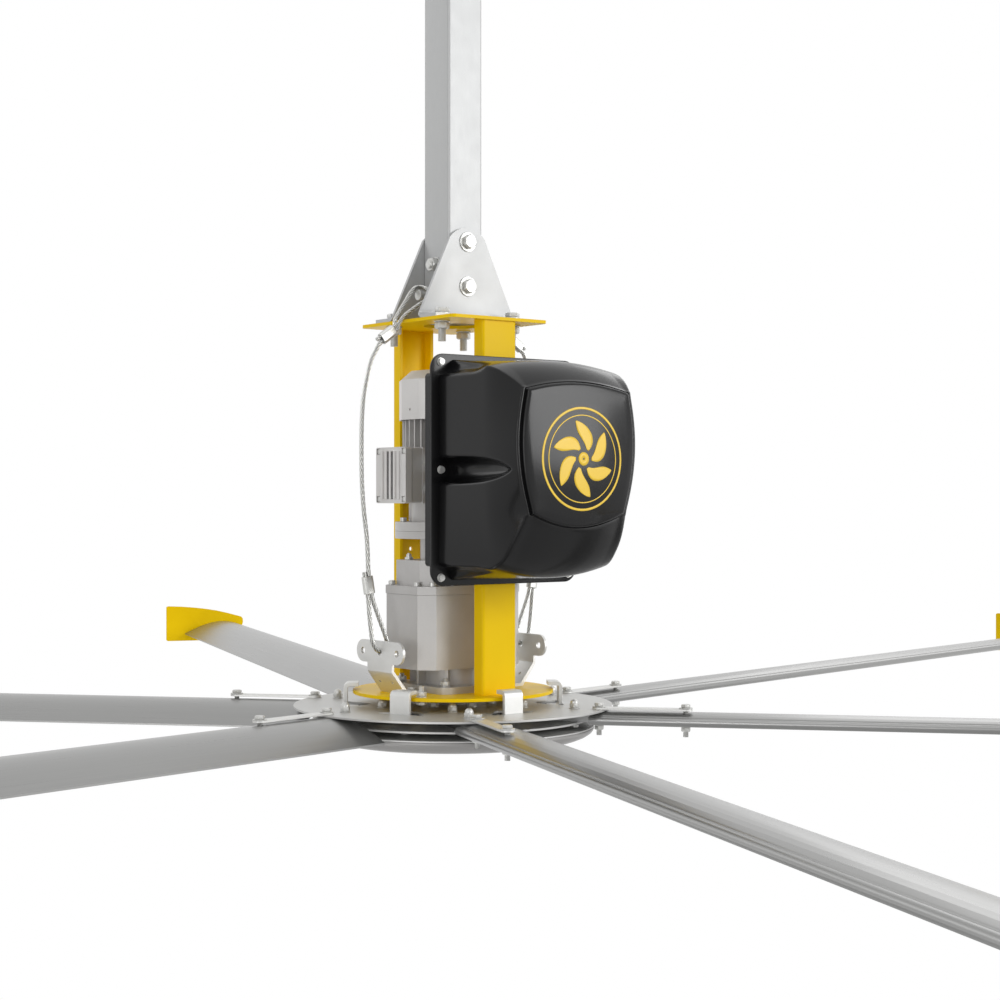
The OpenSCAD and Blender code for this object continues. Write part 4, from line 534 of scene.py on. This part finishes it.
BOLT_SIZES = ("Thread", "Across Flats", "Head Height", "Nut Height", "Washer Width",
              "Washer Height", "Grip", "Tail", "Gap", "Pitch")
# Sides, and shares of a hexagon's width, a washer's width and height, and a nut's width.
HEX_SIDES, DISC_SIDES, SHANK_SIDES = 36, 32, 14
HEX_END, HEX_CHAMFER = 0.475, 0.07
DISC_END, DISC_CHAMFER = 0.485, 0.28
DOME_RADIUS, THREAD_DEPTH = 0.485, 0.11


def fastener_tree():
    """Geometry Nodes that set a bolt, its washers and its nut on every point."""
    group = bpy.data.node_groups.new("hexagon bolts", "GeometryNodeTree")
    for name, kind in (("Points", "Geometry"), *((name, "Float") for name in BOLT_SIZES),
                       ("Dome Nut", "Bool"), ("Finish", "Material")):
        group.interface.new_socket(name=name, in_out="INPUT", socket_type=f"NodeSocket{kind}")
    group.interface.new_socket(name="Bolts", in_out="OUTPUT", socket_type="NodeSocketGeometry")
    tree = NodeTree(group)
    given = tree.node("NodeGroupInput")
    thread, flats, head, nut, width, thick, grip, tail, gap, pitch = map(given.out, BOLT_SIZES)
    place = tree.node("ShaderNodeSeparateXYZ", [tree.node("GeometryNodeInputPosition")])
    x, y, z = place.out("X"), place.out("Y"), place.out("Z")

    def cylinder(sides, bands):
        """A cylinder of radius and height 1, cut in bands."""
        return tree.node("GeometryNodeMeshCylinder",
                         {"Vertices": sides, "Side Segments": bands, "Depth": 1.0})

    def set_points(shape, *place):
        """The shape with its points moved to a place worked out from their own."""
        point = tree.node("ShaderNodeCombineXYZ", place)
        return tree.node("GeometryNodeSetPosition", {"Geometry": shape, "Position": point})

    def turned(sides, height, radius, end_radius, chamfer):
        """A prism or disc with a radius at each point, and with chamfered ends."""
        shape = cylinder(sides, 3)
        end = z.math("GREATER_THAN", z.math("ABSOLUTE", z), 0.4)  # rings at 1/2, not at 1/6
        across = radius * (1 - end) + end_radius * end
        level = z.math("SIGN", z) * (height * 0.5 - (1 - end) * chamfer)
        return tree.node("GeometryNodeSetShadeSmooth", {
            "Geometry": set_points(shape, x * across, y * across, level),
            "Selection": shape.out("Side"), "Shade Smooth": False})

    angle = x.math("ARCTAN2", y, x) + (2 * math.pi + math.pi / 6)
    within = x.math("FLOORED_MODULO", angle, math.pi / 3) - math.pi / 6
    hexagon_radius = flats * 0.5 / x.math("COSINE", within)

    def hexagon(height):
        """A bolt's head or a nut."""
        return turned(HEX_SIDES, height, hexagon_radius, flats * HEX_END, flats * HEX_CHAMFER)

    def washer(height):
        """A flat washer."""
        return turned(DISC_SIDES, height, width * 0.5, width * DISC_END, height * DISC_CHAMFER)

    def lifted(shape, height):
        """The shape moved along the bolt's axis."""
        up = tree.node("ShaderNodeCombineXYZ", [0.0, 0.0, height])
        return tree.node("GeometryNodeTransform", {"Geometry": shape, "Translation": up})

    low = grip + gap + thick
    length = low + gap * 3.0 + nut + tail + thick
    bands = tree.node("FunctionNodeFloatToInt", [length / pitch * 2.0], rounding_mode="ROUND")
    ring = z.math("ROUND", (z + 0.5) * bands)
    radius = thread * 0.5 * (1 - z.math("MODULO", ring, 2.0) * THREAD_DEPTH)
    shank = set_points(cylinder(SHANK_SIDES, bands), x * radius, y * radius, z * length)
    dome = tree.node("GeometryNodeMeshUVSphere",
                     {"Segments": 24, "Rings": 12, "Radius": flats * DOME_RADIUS})
    shown = tree.node("GeometryNodeSwitch", {
        "Switch": given.out("Dome Nut"), "True": lifted(dome, (low + gap + nut) * -1.0)},
        input_type="GEOMETRY")
    parts = [
        lifted(hexagon(head), gap * 2.0 + thick + head * 0.5),
        lifted(washer(thick), gap + thick * 0.5),
        lifted(washer(thick), low * -1.0 + thick * 0.5),
        lifted(hexagon(nut), (low + gap + nut * 0.5) * -1.0),
        lifted(shank, length * -0.5 + gap * 2.0 + thick),
        shown,
    ]
    join = group.nodes.new("GeometryNodeJoinGeometry")
    for part in parts:
        tree.link(part, join.inputs[0])
    turn = tree.node("GeometryNodeInputNamedAttribute", ["turn"], data_type="FLOAT_VECTOR")
    rotation = tree.node("FunctionNodeEulerToRotation", [turn])
    placed = tree.node("GeometryNodeInstanceOnPoints", {
        "Points": given.out("Points"), "Instance": Socket(tree, join.outputs[0]),
        "Rotation": rotation})
    solid = tree.node("GeometryNodeRealizeInstances", [placed])
    painted = tree.node("GeometryNodeSetMaterial",
                        {"Geometry": solid, "Material": given.out("Finish")})
    tree.link(painted, group.nodes.new("NodeGroupOutput").inputs[0])


class BoltSet(NamedTuple):
    """Like bolts in millimetres: seats, the turns that set their heads, and their sizes."""

    seats: list
    turns: list
    thread: float
    washer: float
    grip: float
    tail: float
    dome: bool = False


# Shares of a bolt's thread diameter, and the gap between its parts in metres.
BOLT_SHARES = {"Thread": 1.0, "Across Flats": 1.6, "Head Height": 0.6, "Nut Height": 0.85,
               "Washer Height": 0.15}
BOLT_GAP = 0.00015


def bolts(node, sizes, *sets):
    """One mesh of all of a node's bolts."""
    group = bpy.data.node_groups["hexagon bolts"]
    sockets = {item.name: item.identifier for item in group.interface.items_tree}
    whole = bmesh.new()
    for like in sets:
        data = bpy.data.meshes.new("seats")
        data.from_pydata([Vector(s) / 1000 for s in like.seats], [], [])
        turned = data.attributes.new("turn", "FLOAT_VECTOR", "POINT")
        for item, turn in zip(turned.data, like.turns):
            item.vector = turn
        holder = bpy.data.objects.new("seats", data)
        bpy.context.scene.collection.objects.link(holder)
        tool = holder.modifiers.new("bolts", "NODES")
        tool.node_group = group
        values = {name: like.thread / 1000 * share for name, share in BOLT_SHARES.items()}
        values |= {"Washer Width": like.washer / 1000, "Grip": like.grip / 1000,
                   "Tail": like.tail / 1000, "Gap": BOLT_GAP, "Pitch": sizes.thread_pitch,
                   "Dome Nut": like.dome, "Finish": FINISHES["zinc_fastener"]}
        for name, value in values.items():
            tool[sockets[name]] = value
        graph = bpy.context.evaluated_depsgraph_get()
        done = bpy.data.meshes.new_from_object(holder.evaluated_get(graph))
        whole.from_mesh(done)
        bpy.data.objects.remove(holder)
        bpy.data.meshes.remove(data)
        bpy.data.meshes.remove(done)
    piece = link_mesh(f"{node}_turned", whole, "zinc_fastener", sharp=28)
    return stand_for(piece, node)


BLADES, FIRST_BLADE = 6, 11.0
# Directions of a bolt's head, as turns about the three axes.
UP, DOWN, FRONT = (0, 0, 0), (math.pi, 0, 0), (math.pi / 2, 0, 0)
RIGHT, LEFT = (0, math.pi / 2, 0), (0, -math.pi / 2, 0)
# In millimetres: the tube and the yokes' sheet, heights of the yokes' bolts above the hub plate
# and below the ceiling, and corners of bolt patterns from the axis, with heights above the plate.
TUBE, YOKE_SHEET = 63.5, 5.0
LOWER_YOKE_BOLTS, LOWER_CROSS_BOLT = (630, 697), 663.5
UPPER_YOKE_BOLTS, UPPER_CROSS_BOLT = (-52, -119), -85.5
PLATE_BOLTS, FOOT_BOLTS, BRACKET_BOLTS = (66, 61.75, 583), (56, 56, 17.5), (89, 16, 26.5)
RIM_BOLT, RIM_ANGLE = 134.52, 213.5
# The line of a blade's bolts beside its axis, and their distances along it, height and grips.
BOLT_LINE = 37.0
HUB_BOLTS, HUB_GRIP = (115, 192), 21.525
BLADE_BOLTS, BLADE_SEAT, BLADE_GRIP = (229, 357), 3.3, 24.98


def blade_angle(k):
    """The direction of a blade."""
    return math.radians(FIRST_BLADE + k * 360 / BLADES)


def blade_seats(distances, height):
    """Seats at a height on the bolt line of every blade, with the direction of that blade."""
    seats, angles = [], []
    for angle in (blade_angle(k) for k in range(BLADES)):
        for s in distances:
            seats.append((s * math.cos(angle) + BOLT_LINE * math.sin(angle),
                          s * math.sin(angle) - BOLT_LINE * math.cos(angle), height))
            angles.append(angle)
    return seats, angles


def make_fasteners(sizes):
    """The bolts that hold the fan together, by Geometry Nodes."""
    fastener_tree()
    drop = sizes.hub_drop * 1000

    def four(x, y, z):
        """The corners of a rectangle about the fan's axis."""
        return [(x * i, y * j, z - drop) for i in (-1, 1) for j in (-1, 1)]

    heights = [*(z - drop for z in LOWER_YOKE_BOLTS), *UPPER_YOKE_BOLTS]
    bolts("tube_bolts", sizes,
          BoltSet([(0, -TUBE / 2 - YOKE_SHEET, z) for z in heights], [FRONT] * 4, thread=12,
                  washer=30, grip=TUBE + 2 * YOKE_SHEET, tail=3),
          BoltSet([(TUBE / 2, 0, LOWER_CROSS_BOLT - drop)], [RIGHT], thread=12, washer=24,
                  grip=TUBE, tail=3),
          BoltSet([(-TUBE / 2, 0, UPPER_CROSS_BOLT)], [LEFT], thread=12, washer=24, grip=TUBE,
                  tail=3))
    bolts("plate_bolts", sizes,
          BoltSet(four(*PLATE_BOLTS), [UP] * 4, thread=12, washer=24, grip=10, tail=18))
    rim = math.radians(RIM_ANGLE)
    bolts("foot_bolts", sizes,
          BoltSet(four(*FOOT_BOLTS), [DOWN] * 4, thread=8, washer=16, grip=15, tail=4),
          BoltSet([(RIM_BOLT * math.cos(rim), RIM_BOLT * math.sin(rim), FOOT_BOLTS[2] - drop)],
                  [DOWN], thread=8, washer=16, grip=5, tail=8))
    bolts("bracket_bolts", sizes,
          BoltSet(four(*BRACKET_BOLTS), [UP] * 4, thread=6, washer=11.4, grip=9, tail=1))
    seats, angles = blade_seats(HUB_BOLTS, -drop - HUB_GRIP)
    bolts("hub_bolts", sizes,
          BoltSet(seats, [(math.pi, 0, a) for a in angles], thread=8, washer=16,
                  grip=HUB_GRIP, tail=0, dome=True))
    seats, angles = blade_seats(BLADE_BOLTS, BLADE_SEAT - drop)
    bolts("blade_bolts", sizes,
          BoltSet(seats, [(0, 0, a) for a in angles], thread=8, washer=20, grip=BLADE_GRIP,
                  tail=8))


def make_suspension(sizes):
    """The yokes, the square tube and the pin that the ropes hang from."""
    rounded("extension_tube", sizes.tube_edge, angle=50)
    round_all(sizes.plate_edge, "upper_yoke", "lower_yoke")
    rounded("rope_pins", sizes.fine_edge)


def make_frame(sizes):
    """The yellow frame, and the tray and drive unit of the drive housing."""
    round_all(sizes.plate_edge, "frame_top_plate", "frame_disc", "frame_posts", "drive_tray")
    repaint("drive_unit")


# The cover in millimetres, from its middle across and up, and from the flange to the front.
# The panel: its corners above and below, its half widths there, and the bulge of each side.
PANEL_TOP, PANEL_LOW = 109, 63
PANEL_HALF_TOP, PANEL_HALF_LOW = 90, 81
PANEL_SIDE_BULGE, PANEL_TOP_BULGE, PANEL_LOW_BULGE = 15, 11.25, 18
PANEL_EDGE, PANEL_DOME = 168.6, 6.4
# The walls: the level and power of their bend, how far they lean in by it, the half width and
# depth over which the lean of the roof, base and lower sides grows, and how round corners are.
KNEE, KNEE_POWER = 0.62, 1.9
SIDE_LEAN, ROOF_LEAN, BASE_LEAN = (4, 11), (3, 12), (4, 18)
LEAN_WIDTH, LEAN_DEPTH = 117, 120
FRONT_BLEND, BACK_BLEND = 2.4, 25
WALL_HEIGHT, WALL_LEVELS = 161, 56
SHOULDER_SIDE, SHOULDER_ENDS = 8, 3
# From the walls to the panel: shoulder share and height over the groove, inset and height at
# the panel's rim, and then shares of the panel's outline.
GROOVE = [(0.85, 162.4), (0.62, 163.0), (0.4, 162.5), (0.2, 161.6), (0.05, 161.7),
          (0.0, 163.0), (0.0, 164.9)]
PANEL_RIM = [(0.3, 165.9), (1.0, 166.9), (2.2, 167.7), (3.7, 168.25), (5.4, 168.55)]
PANEL_SHARES = (0.96, 0.9, 0.82, 0.72, 0.6, 0.47, 0.34, 0.2, 0.08)
# A screw's hollow: radius, the height where it starts to narrow, and over what length.
TOP_HOLLOW, LOW_HOLLOW, MIDDLE_HOLLOW = (17, 66, 42), (15, 66, 42), (17.0, 40, 112)
# The middle screws' height, how far a hollow's end draws in, how far its middle lies inside the
# wall, and the rounding of its rim.
MIDDLE_SCREW, HOLLOW_POINT, HOLLOW_SINK, HOLLOW_BLEND = -1.0, 6.0, 2, 7.0
# The flange: width beside and above the walls, inset of the screws, corner radius, back face,
# insets and heights round its edge, and the share of the wall's outline where it ends inside.
FLANGE_SIDE, FLANGE_ENDS, SCREW_SIDE, SCREW_ENDS, FLANGE_CORNER = 14, 8, 16.5, 12, 22
FLANGE_BACK, FLANGE_INNER = -4.0, 0.985
FLANGE_EDGE = ((0.5, FLANGE_BACK), (0.0, -3.5), (0.0, -0.9), (0.3, -0.3), (1.0, 0.0))
# The rays that find the outlines, with their start and end, and the wall's thickness in metres.
RAYS, RAY_START, RAY_END = 560, 30.0, 235.0
COVER_WALL = 0.0028


def smooth_max(first, second, blend):
    """The larger of two distances, rounded where they meet."""
    near = np.maximum(blend - np.abs(first - second), 0) / blend
    return np.maximum(first, second) + near * near * blend / 4


def bent(level, start, knee, end):
    """A wall's distance at a level: straight to the knee, then curving in to its end."""
    slope = (knee - start) / KNEE
    over = np.clip((level - KNEE) / (1 - KNEE), 0, 1)
    straight = start + slope * level
    return straight + (end - knee - slope * (1 - KNEE)) * over ** KNEE_POWER


def soft_floor(value, soft=0.004):
    """A value that levels off smoothly at nought."""
    return 0.5 * (value + np.sqrt(value * value + soft))


def panel_sides(x, z):
    """Half width, top and bottom of the front panel beside a point, from the cover's middle."""
    up = soft_floor((z + PANEL_LOW) / (PANEL_TOP + PANEL_LOW))
    up = 1 - soft_floor(1 - up)
    side = PANEL_HALF_LOW + (PANEL_HALF_TOP - PANEL_HALF_LOW) * up
    side += PANEL_SIDE_BULGE * 4 * up * (1 - up)
    top = PANEL_TOP + PANEL_TOP_BULGE * (1 - np.clip(np.abs(x) / PANEL_HALF_TOP, 0, 1) ** 2)
    low = PANEL_LOW + PANEL_LOW_BULGE * (1 - np.clip(np.abs(x) / PANEL_HALF_LOW, 0, 1) ** 2)
    return side, top, low


def cover_section(x, z, level, shoulder, half_w, half_h):
    """Distance outside the cover's wall at a level from 0, the flange, to 1, the panel."""
    side, top, low = panel_sides(x, z)
    bow = np.clip(np.abs(x) / LEAN_WIDTH, 0, 1) ** 2
    under = np.clip(-z / LEAN_DEPTH, 0, 1) ** 2

    def leaning(start, lean, grown, end):
        """A wall that leans in by a part of its own and a part that grows."""
        return bent(level, start, start - lean[0] - lean[1] * grown, end)

    wall = leaning(half_w, SIDE_LEAN, under, side + SHOULDER_SIDE * shoulder)
    roof = leaning(half_h, ROOF_LEAN, bow, top + SHOULDER_ENDS * shoulder)
    base = leaning(half_h, BASE_LEAN, bow, low + SHOULDER_ENDS * shoulder)
    blend = FRONT_BLEND + BACK_BLEND * (1 - level) ** 3
    return smooth_max(np.abs(x) - wall, smooth_max(z - roof, -z - base, blend), blend), wall


def scoop_size(height, full, start, length):
    """Radius of a screw's hollow at a height above the flange: round-ended, like a boat."""
    over = np.clip((height - start) / length, 0, 1)
    return full * np.sqrt(np.maximum(1 - over * over, 0)) - HOLLOW_POINT * over ** 6


def cover_distance(x, z, level, height, shoulder, half_w, half_h, screw_x, screw_z):
    """Distance outside the cover with its six screw hollows taken out."""
    outside, wall = cover_section(x, z, level, shoulder, half_w, half_h)
    for place, hollow in ((screw_z, TOP_HOLLOW), (-screw_z, LOW_HOLLOW),
                          (MIDDLE_SCREW, MIDDLE_HOLLOW)):
        centre = np.minimum(screw_x, wall - HOLLOW_SINK)
        inside = scoop_size(height, *hollow) - np.hypot(np.abs(x) - centre, z - place)
        outside = smooth_max(outside, inside, HOLLOW_BLEND)
    return outside


def panel_height(x, z):
    """Height of the panel's face above the flange: a shallow dome over the whole panel."""
    side, top, low = panel_sides(x, z)
    over = np.clip(np.abs(x) / side, 0, 1)
    up = np.clip(np.where(z > 0, z / top, -z / low), 0, 1)
    return PANEL_EDGE + PANEL_DOME * (1 - over ** 2) * (1 - up ** 2)


def cover_levels():
    """Levels up the cover: wall level, height above the flange, shoulder share and inset."""
    levels = (k / WALL_LEVELS for k in range(WALL_LEVELS + 1))
    walls = [(level, WALL_HEIGHT * level, 1.0, 0.0) for level in levels]
    groove = [(1.0, height, share, 0.0) for share, height in GROOVE]
    rim = [(1.0, height, 0.0, inset) for inset, height in PANEL_RIM]
    return walls + groove + rim


def cover_rings(*spans):
    """Outlines of the cover, each a ring of points from its middle, by rays outwards.

    The spans are the walls' half width and half height, and the screws' place across and up.
    """
    angles = np.linspace(0, 2 * math.pi, RAYS, endpoint=False)
    cx, cz = np.cos(angles), np.sin(angles)
    steps = np.arange(RAY_START, RAY_END, 1.0)[:, None]
    rings = []
    for level, height, shoulder, inset in cover_levels():
        def outside(radius):
            return cover_distance(radius * cx, radius * cz, level, height, shoulder,
                                  *spans) + inset
        first = np.argmax(outside(steps) > 0, axis=0)
        high = steps[first, 0]
        low = high - 1.0
        for _ in range(12):
            middle = (low + high) / 2
            out = outside(middle) > 0
            high, low = np.where(out, middle, high), np.where(out, low, middle)
        rings.append((cx * high, cz * high, height))
    return rings


def flange_rings(outline, half_w, half_h):
    """Rings of the flange from its back edge round to the wall, from the cover's middle."""
    angles = [math.atan2(z, x) for x, z in outline]

    def edge(angle, inset):
        """The flange's edge in a direction: on a side, or halved in to a round corner."""
        x, z = math.cos(angle), math.sin(angle)
        w, h, r = half_w - inset, half_h - inset, FLANGE_CORNER - inset
        reach = min(w / max(abs(x), 1e-9), h / max(abs(z), 1e-9))
        px, pz = abs(x) * reach, abs(z) * reach
        if px > w - r and pz > h - r:
            low, high = 0.0, reach
            for _ in range(30):
                middle = (low + high) / 2
                dx = max(abs(x) * middle - (w - r), 0)
                dz = max(abs(z) * middle - (h - r), 0)
                low, high = (low, middle) if math.hypot(dx, dz) > r else (middle, high)
            reach = low
        return x * reach, z * reach

    inner = [(x * FLANGE_INNER, z * FLANGE_INNER) for x, z in outline]
    rings = [([edge(a, inset) for a in angles], height) for inset, height in FLANGE_EDGE]
    return [(inner, FLANGE_BACK), *rings, (inner, 0.0)]


def make_cover(sizes):
    """The moulded cover: curved walls, a stepped panel, hollows for the screws, and its sign."""
    low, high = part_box("drive_cover")
    middle, back = (low.z + high.z) * 500, high.y * 1000 + FLANGE_BACK
    half_w, half_h = (high.x - low.x) * 500, (high.z - low.z) * 500

    def spot(x, z, height):
        """A point of the cover in the fan's frame."""
        return Vector((x, back - height, middle + z)) / 1000

    rings = cover_rings(half_w - FLANGE_SIDE, half_h - FLANGE_ENDS, half_w - SCREW_SIDE,
                        half_h - SCREW_ENDS)
    mesh = bmesh.new()
    made = [[mesh.verts.new(spot(x, z, height)) for x, z in zip(xs, zs)]
            for xs, zs, height in rings]
    xs, zs, _ = rings[-1]
    for share in PANEL_SHARES:
        heights = panel_height(xs * share, zs * share)
        made.append([mesh.verts.new(spot(x * share, z * share, height))
                     for x, z, height in zip(xs, zs, heights)])
    stitch(mesh, made, closed_end=True)
    bmesh.ops.recalc_face_normals(mesh, faces=mesh.faces)
    piece = link_mesh("drive_cover_moulded", mesh, "black_cover", sharp=55)
    tool = piece.modifiers.new("wall", "SOLIDIFY")
    tool.thickness, tool.offset, tool.use_even_offset = COVER_WALL, -1.0, False
    apply_modifiers(piece)
    mesh = bmesh.new()
    mesh.from_mesh(piece.data)
    outline = list(zip(rings[0][0], rings[0][1]))
    rim = [[mesh.verts.new(spot(x, z, height)) for x, z in points]
           for points, height in flange_rings(outline, half_w, half_h)]
    stitch(mesh, [*rim, rim[0]])
    bmesh.ops.recalc_face_normals(mesh, faces=mesh.faces)
    mesh.to_mesh(piece.data)
    mesh.free()
    piece.data.shade_smooth()
    piece.data.set_sharp_from_angle(angle=math.radians(48))
    stand_for(piece, "drive_cover")
    make_motif(sizes, spot)


# The fan sign: lift of its middle and its paint, the paint's thickness in metres, inner and outer
# share of its radius and rows of faces for each ring, and the vanes: counts, start, length, sweep
# and half width, and the part of a half wave and the taper that shape that width.
MOTIF_LIFT, PAINT_LIFT, PAINT_THICKNESS = 14.0, 0.1, 0.0002
MOTIF_RINGS = ((0.955, 1.0, 3), (0.83, 0.85, 3), (0.02, 0.13, 2))
VANES, VANE_POINTS, VANE_ROWS = 6, 19, 6
VANE_START, VANE_LENGTH, VANE_SWEEP, VANE_SPREAD = 0.2, 0.55, 0.75, 0.42
WAVE_START, WAVE_LENGTH, VANE_TAPER = 0.12, 0.86, 0.25


def make_motif(sizes, spot):
    """A plain fan sign of six swept vanes in two rings, painted on the cover's panel."""
    reach = sizes.motif_height * 500

    def on_panel(x, z):
        """A point just over the panel, from the sign's middle."""
        up = z + MOTIF_LIFT
        return spot(x, up, float(panel_height(x, up)) + PAINT_LIFT)

    mesh = bmesh.new()

    def band(inner, outer, rows, closed=True):
        """Faces between two lines of points, in rows that follow the panel."""
        made = []
        for k in range(rows + 1):
            share = k / rows
            made.append([mesh.verts.new(on_panel(a[0] + (b[0] - a[0]) * share,
                                                 a[1] + (b[1] - a[1]) * share))
                         for a, b in zip(inner, outer)])
        for low, high in zip(made, made[1:]):
            count = len(low)
            for k in range(count if closed else count - 1):
                n = (k + 1) % count
                mesh.faces.new((low[k], high[k], high[n], low[n]))

    def circle(radius, count=120):
        """Points round the sign's middle."""
        return [(radius * math.cos(a), radius * math.sin(a))
                for a in (2 * math.pi * k / count for k in range(count))]

    for inner, outer, rows in MOTIF_RINGS:
        band(circle(reach * inner), circle(reach * outer), rows)
    for k in range(VANES):
        first, second = [], []
        for share in (j / (VANE_POINTS - 1) for j in range(VANE_POINTS)):
            radius = reach * (VANE_START + VANE_LENGTH * share)
            turn = k * math.pi / 3 + VANE_SWEEP * share
            wave = math.sin(math.pi * (WAVE_START + WAVE_LENGTH * share))
            spread = VANE_SPREAD * wave * (1 - VANE_TAPER * share)
            first.append((radius * math.cos(turn - spread), radius * math.sin(turn - spread)))
            second.append((radius * math.cos(turn + spread), radius * math.sin(turn + spread)))
        band(first, second, VANE_ROWS, closed=False)
    bmesh.ops.recalc_face_normals(mesh, faces=mesh.faces)
    mesh.normal_update()
    if sum(f.normal.y for f in mesh.faces) > 0:
        bmesh.ops.reverse_faces(mesh, faces=mesh.faces)
    piece = link_mesh("panel_motif", mesh, "motif_paint", sharp=180)
    tool = piece.modifiers.new("paint", "SOLIDIFY")
    tool.thickness, tool.offset = PAINT_THICKNESS, 1.0
    apply_modifiers(piece)
    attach(piece, "frame")


def make_motor(sizes):
    """The motor: cowl, finned housing, flange and terminal box."""
    # The cowl and the terminal lid take the lighter copy of the casting paint, which is painted
    # light.
    rounded("motor_cowl", sizes.plate_edge, "pale_casting", angle=20)
    rounded("motor_housing", sizes.fine_edge)
    rounded("motor_flange", sizes.cast_edge)
    rounded("terminal_box", sizes.plate_edge)
    rounded("terminal_lid", sizes.plate_edge, "pale_casting")
    round_all(sizes.fine_edge, "terminal_screws", "cable_gland", "blanking_plug",
              "motor_flange_bolts")
    repaint("motor_rear_shield", "motor_stator", "motor_bearings", "motor_shaft", "rotor_core",
            "cooling_fan", "motor_pinion")


def make_gear_case(sizes):
    """The gear case under the motor, and the screws of the drive cover."""
    round_all(sizes.cast_edge, "gear_case_upper", "gear_case_lower")
    round_all(sizes.fine_edge, "gear_case_bolts", "breather_plug", "cover_screws")
    repaint("gear_bearings", "output_seal", "counter_shaft", "counter_gear", "output_shaft",
            "output_gear")


def make_brackets(sizes):
    """The bent brackets that the ropes loop through."""
    rounded("rope_brackets", sizes.plate_edge, "bent_aluminium")


def make_hub(sizes):
    """The hub plates, clips, boss and cap."""
    for node in ("hub_plate", "hub_lower_plate", "hub_cap_plate"):
        rounded(node, sizes.plate_edge, "hub_aluminium")
    rounded("safety_clips", sizes.plate_edge, "bent_aluminium")
    rounded("hub_boss", sizes.plate_edge)
    # The cap's finish holds painted shade as well as its own darker paint.
    rounded("hub_cap", sizes.cast_edge)
    repaint("boss_bolts")


PATTERN_SHIFT = 2.1  # metres between the places that two blades take in the brushed pattern


def blade_places(data, drop):
    """For each point its distance along its blade, across it and its height."""
    values = []
    for vertex in data.vertices:
        x, y, z = vertex.co
        k = round((math.degrees(math.atan2(y, x)) - FIRST_BLADE) * BLADES / 360)
        along, across = math.cos(blade_angle(k)), math.sin(blade_angle(k))
        values.append((x * along + y * across,
                       y * along - x * across + PATTERN_SHIFT * k, z + drop))
    return values


def make_blades(sizes):
    """The blades, their tip plates, spars and retainer bars."""
    for node, width, finish in (("airfoils", 0.0003, "blade_aluminium"),
                                ("blade_spars", 0.0004, "blade_aluminium"),
                                ("blade_retainers", 0.0005, "bent_aluminium"),
                                ("winglets", 0.0012, "yellow_paint")):
        piece = rounded(node, width, finish)
        if finish == "blade_aluminium":
            places = piece.data.attributes.new("along_blade", "FLOAT_VECTOR", "POINT")
            for item, value in zip(places.data, blade_places(piece.data, sizes.hub_drop)):
                item.vector = value


class FanOperator:
    """What every piece's operator shares."""

    bl_options = {"REGISTER", "UNDO"}

    def execute(self, context):
        self.make(getattr(context.scene, self.group))
        return {"FINISHED"}


def operator(name, label, make, group="fan_sizes"):
    """An operator class that makes one piece or group of like pieces."""
    return type(f"FAN_OT_{name}", (FanOperator, bpy.types.Operator), {
        "__doc__": make.__doc__, "bl_idname": f"fan.{name}", "bl_label": label,
        "make": staticmethod(make), "group": group})


PIECES = [
    operator("finishes", "Finishes", make_finishes, "fan_colours"),
    operator("stage", "Stage", make_stage),
    operator("ropes", "Safety ropes", make_ropes),
    operator("suspension", "Suspension", make_suspension),
    operator("frame", "Frame", make_frame),
    operator("cover", "Drive cover", make_cover),
    operator("motor", "Motor", make_motor),
    operator("gear_case", "Gear case", make_gear_case),
    operator("brackets", "Rope brackets", make_brackets),
    operator("hub", "Hub", make_hub),
    operator("blades", "Blades", make_blades),
    operator("fasteners", "Bolts", make_fasteners),
]


class FAN_PT_panel(bpy.types.Panel):
    """The fan's sizes, colours and operators in the sidebar"""

    bl_idname = "FAN_PT_panel"
    bl_label = "Ceiling fan"
    bl_space_type = "VIEW_3D"
    bl_region_type = "UI"
    bl_category = "Ceiling fan"

    def draw(self, context):
        for group in (context.scene.fan_sizes, context.scene.fan_colours):
            for name in group.__annotations__:
                self.layout.prop(group, name)
        for piece in PIECES:
            self.layout.operator(piece.bl_idname)


CLASSES = [FanSizes, FanColours, *PIECES, FAN_PT_panel]


def register():
    for item in CLASSES:
        bpy.utils.register_class(item)
    bpy.types.Scene.fan_sizes = bpy.props.PointerProperty(type=FanSizes)
    bpy.types.Scene.fan_colours = bpy.props.PointerProperty(type=FanColours)


def unregister():
    del bpy.types.Scene.fan_colours
    del bpy.types.Scene.fan_sizes
    for item in reversed(CLASSES):
        bpy.utils.unregister_class(item)


def main():
    register()
    for piece in PIECES:
        space, name = piece.bl_idname.split(".")
        getattr(getattr(bpy.ops, space), name)()


if __name__ == "__main__":
    main()
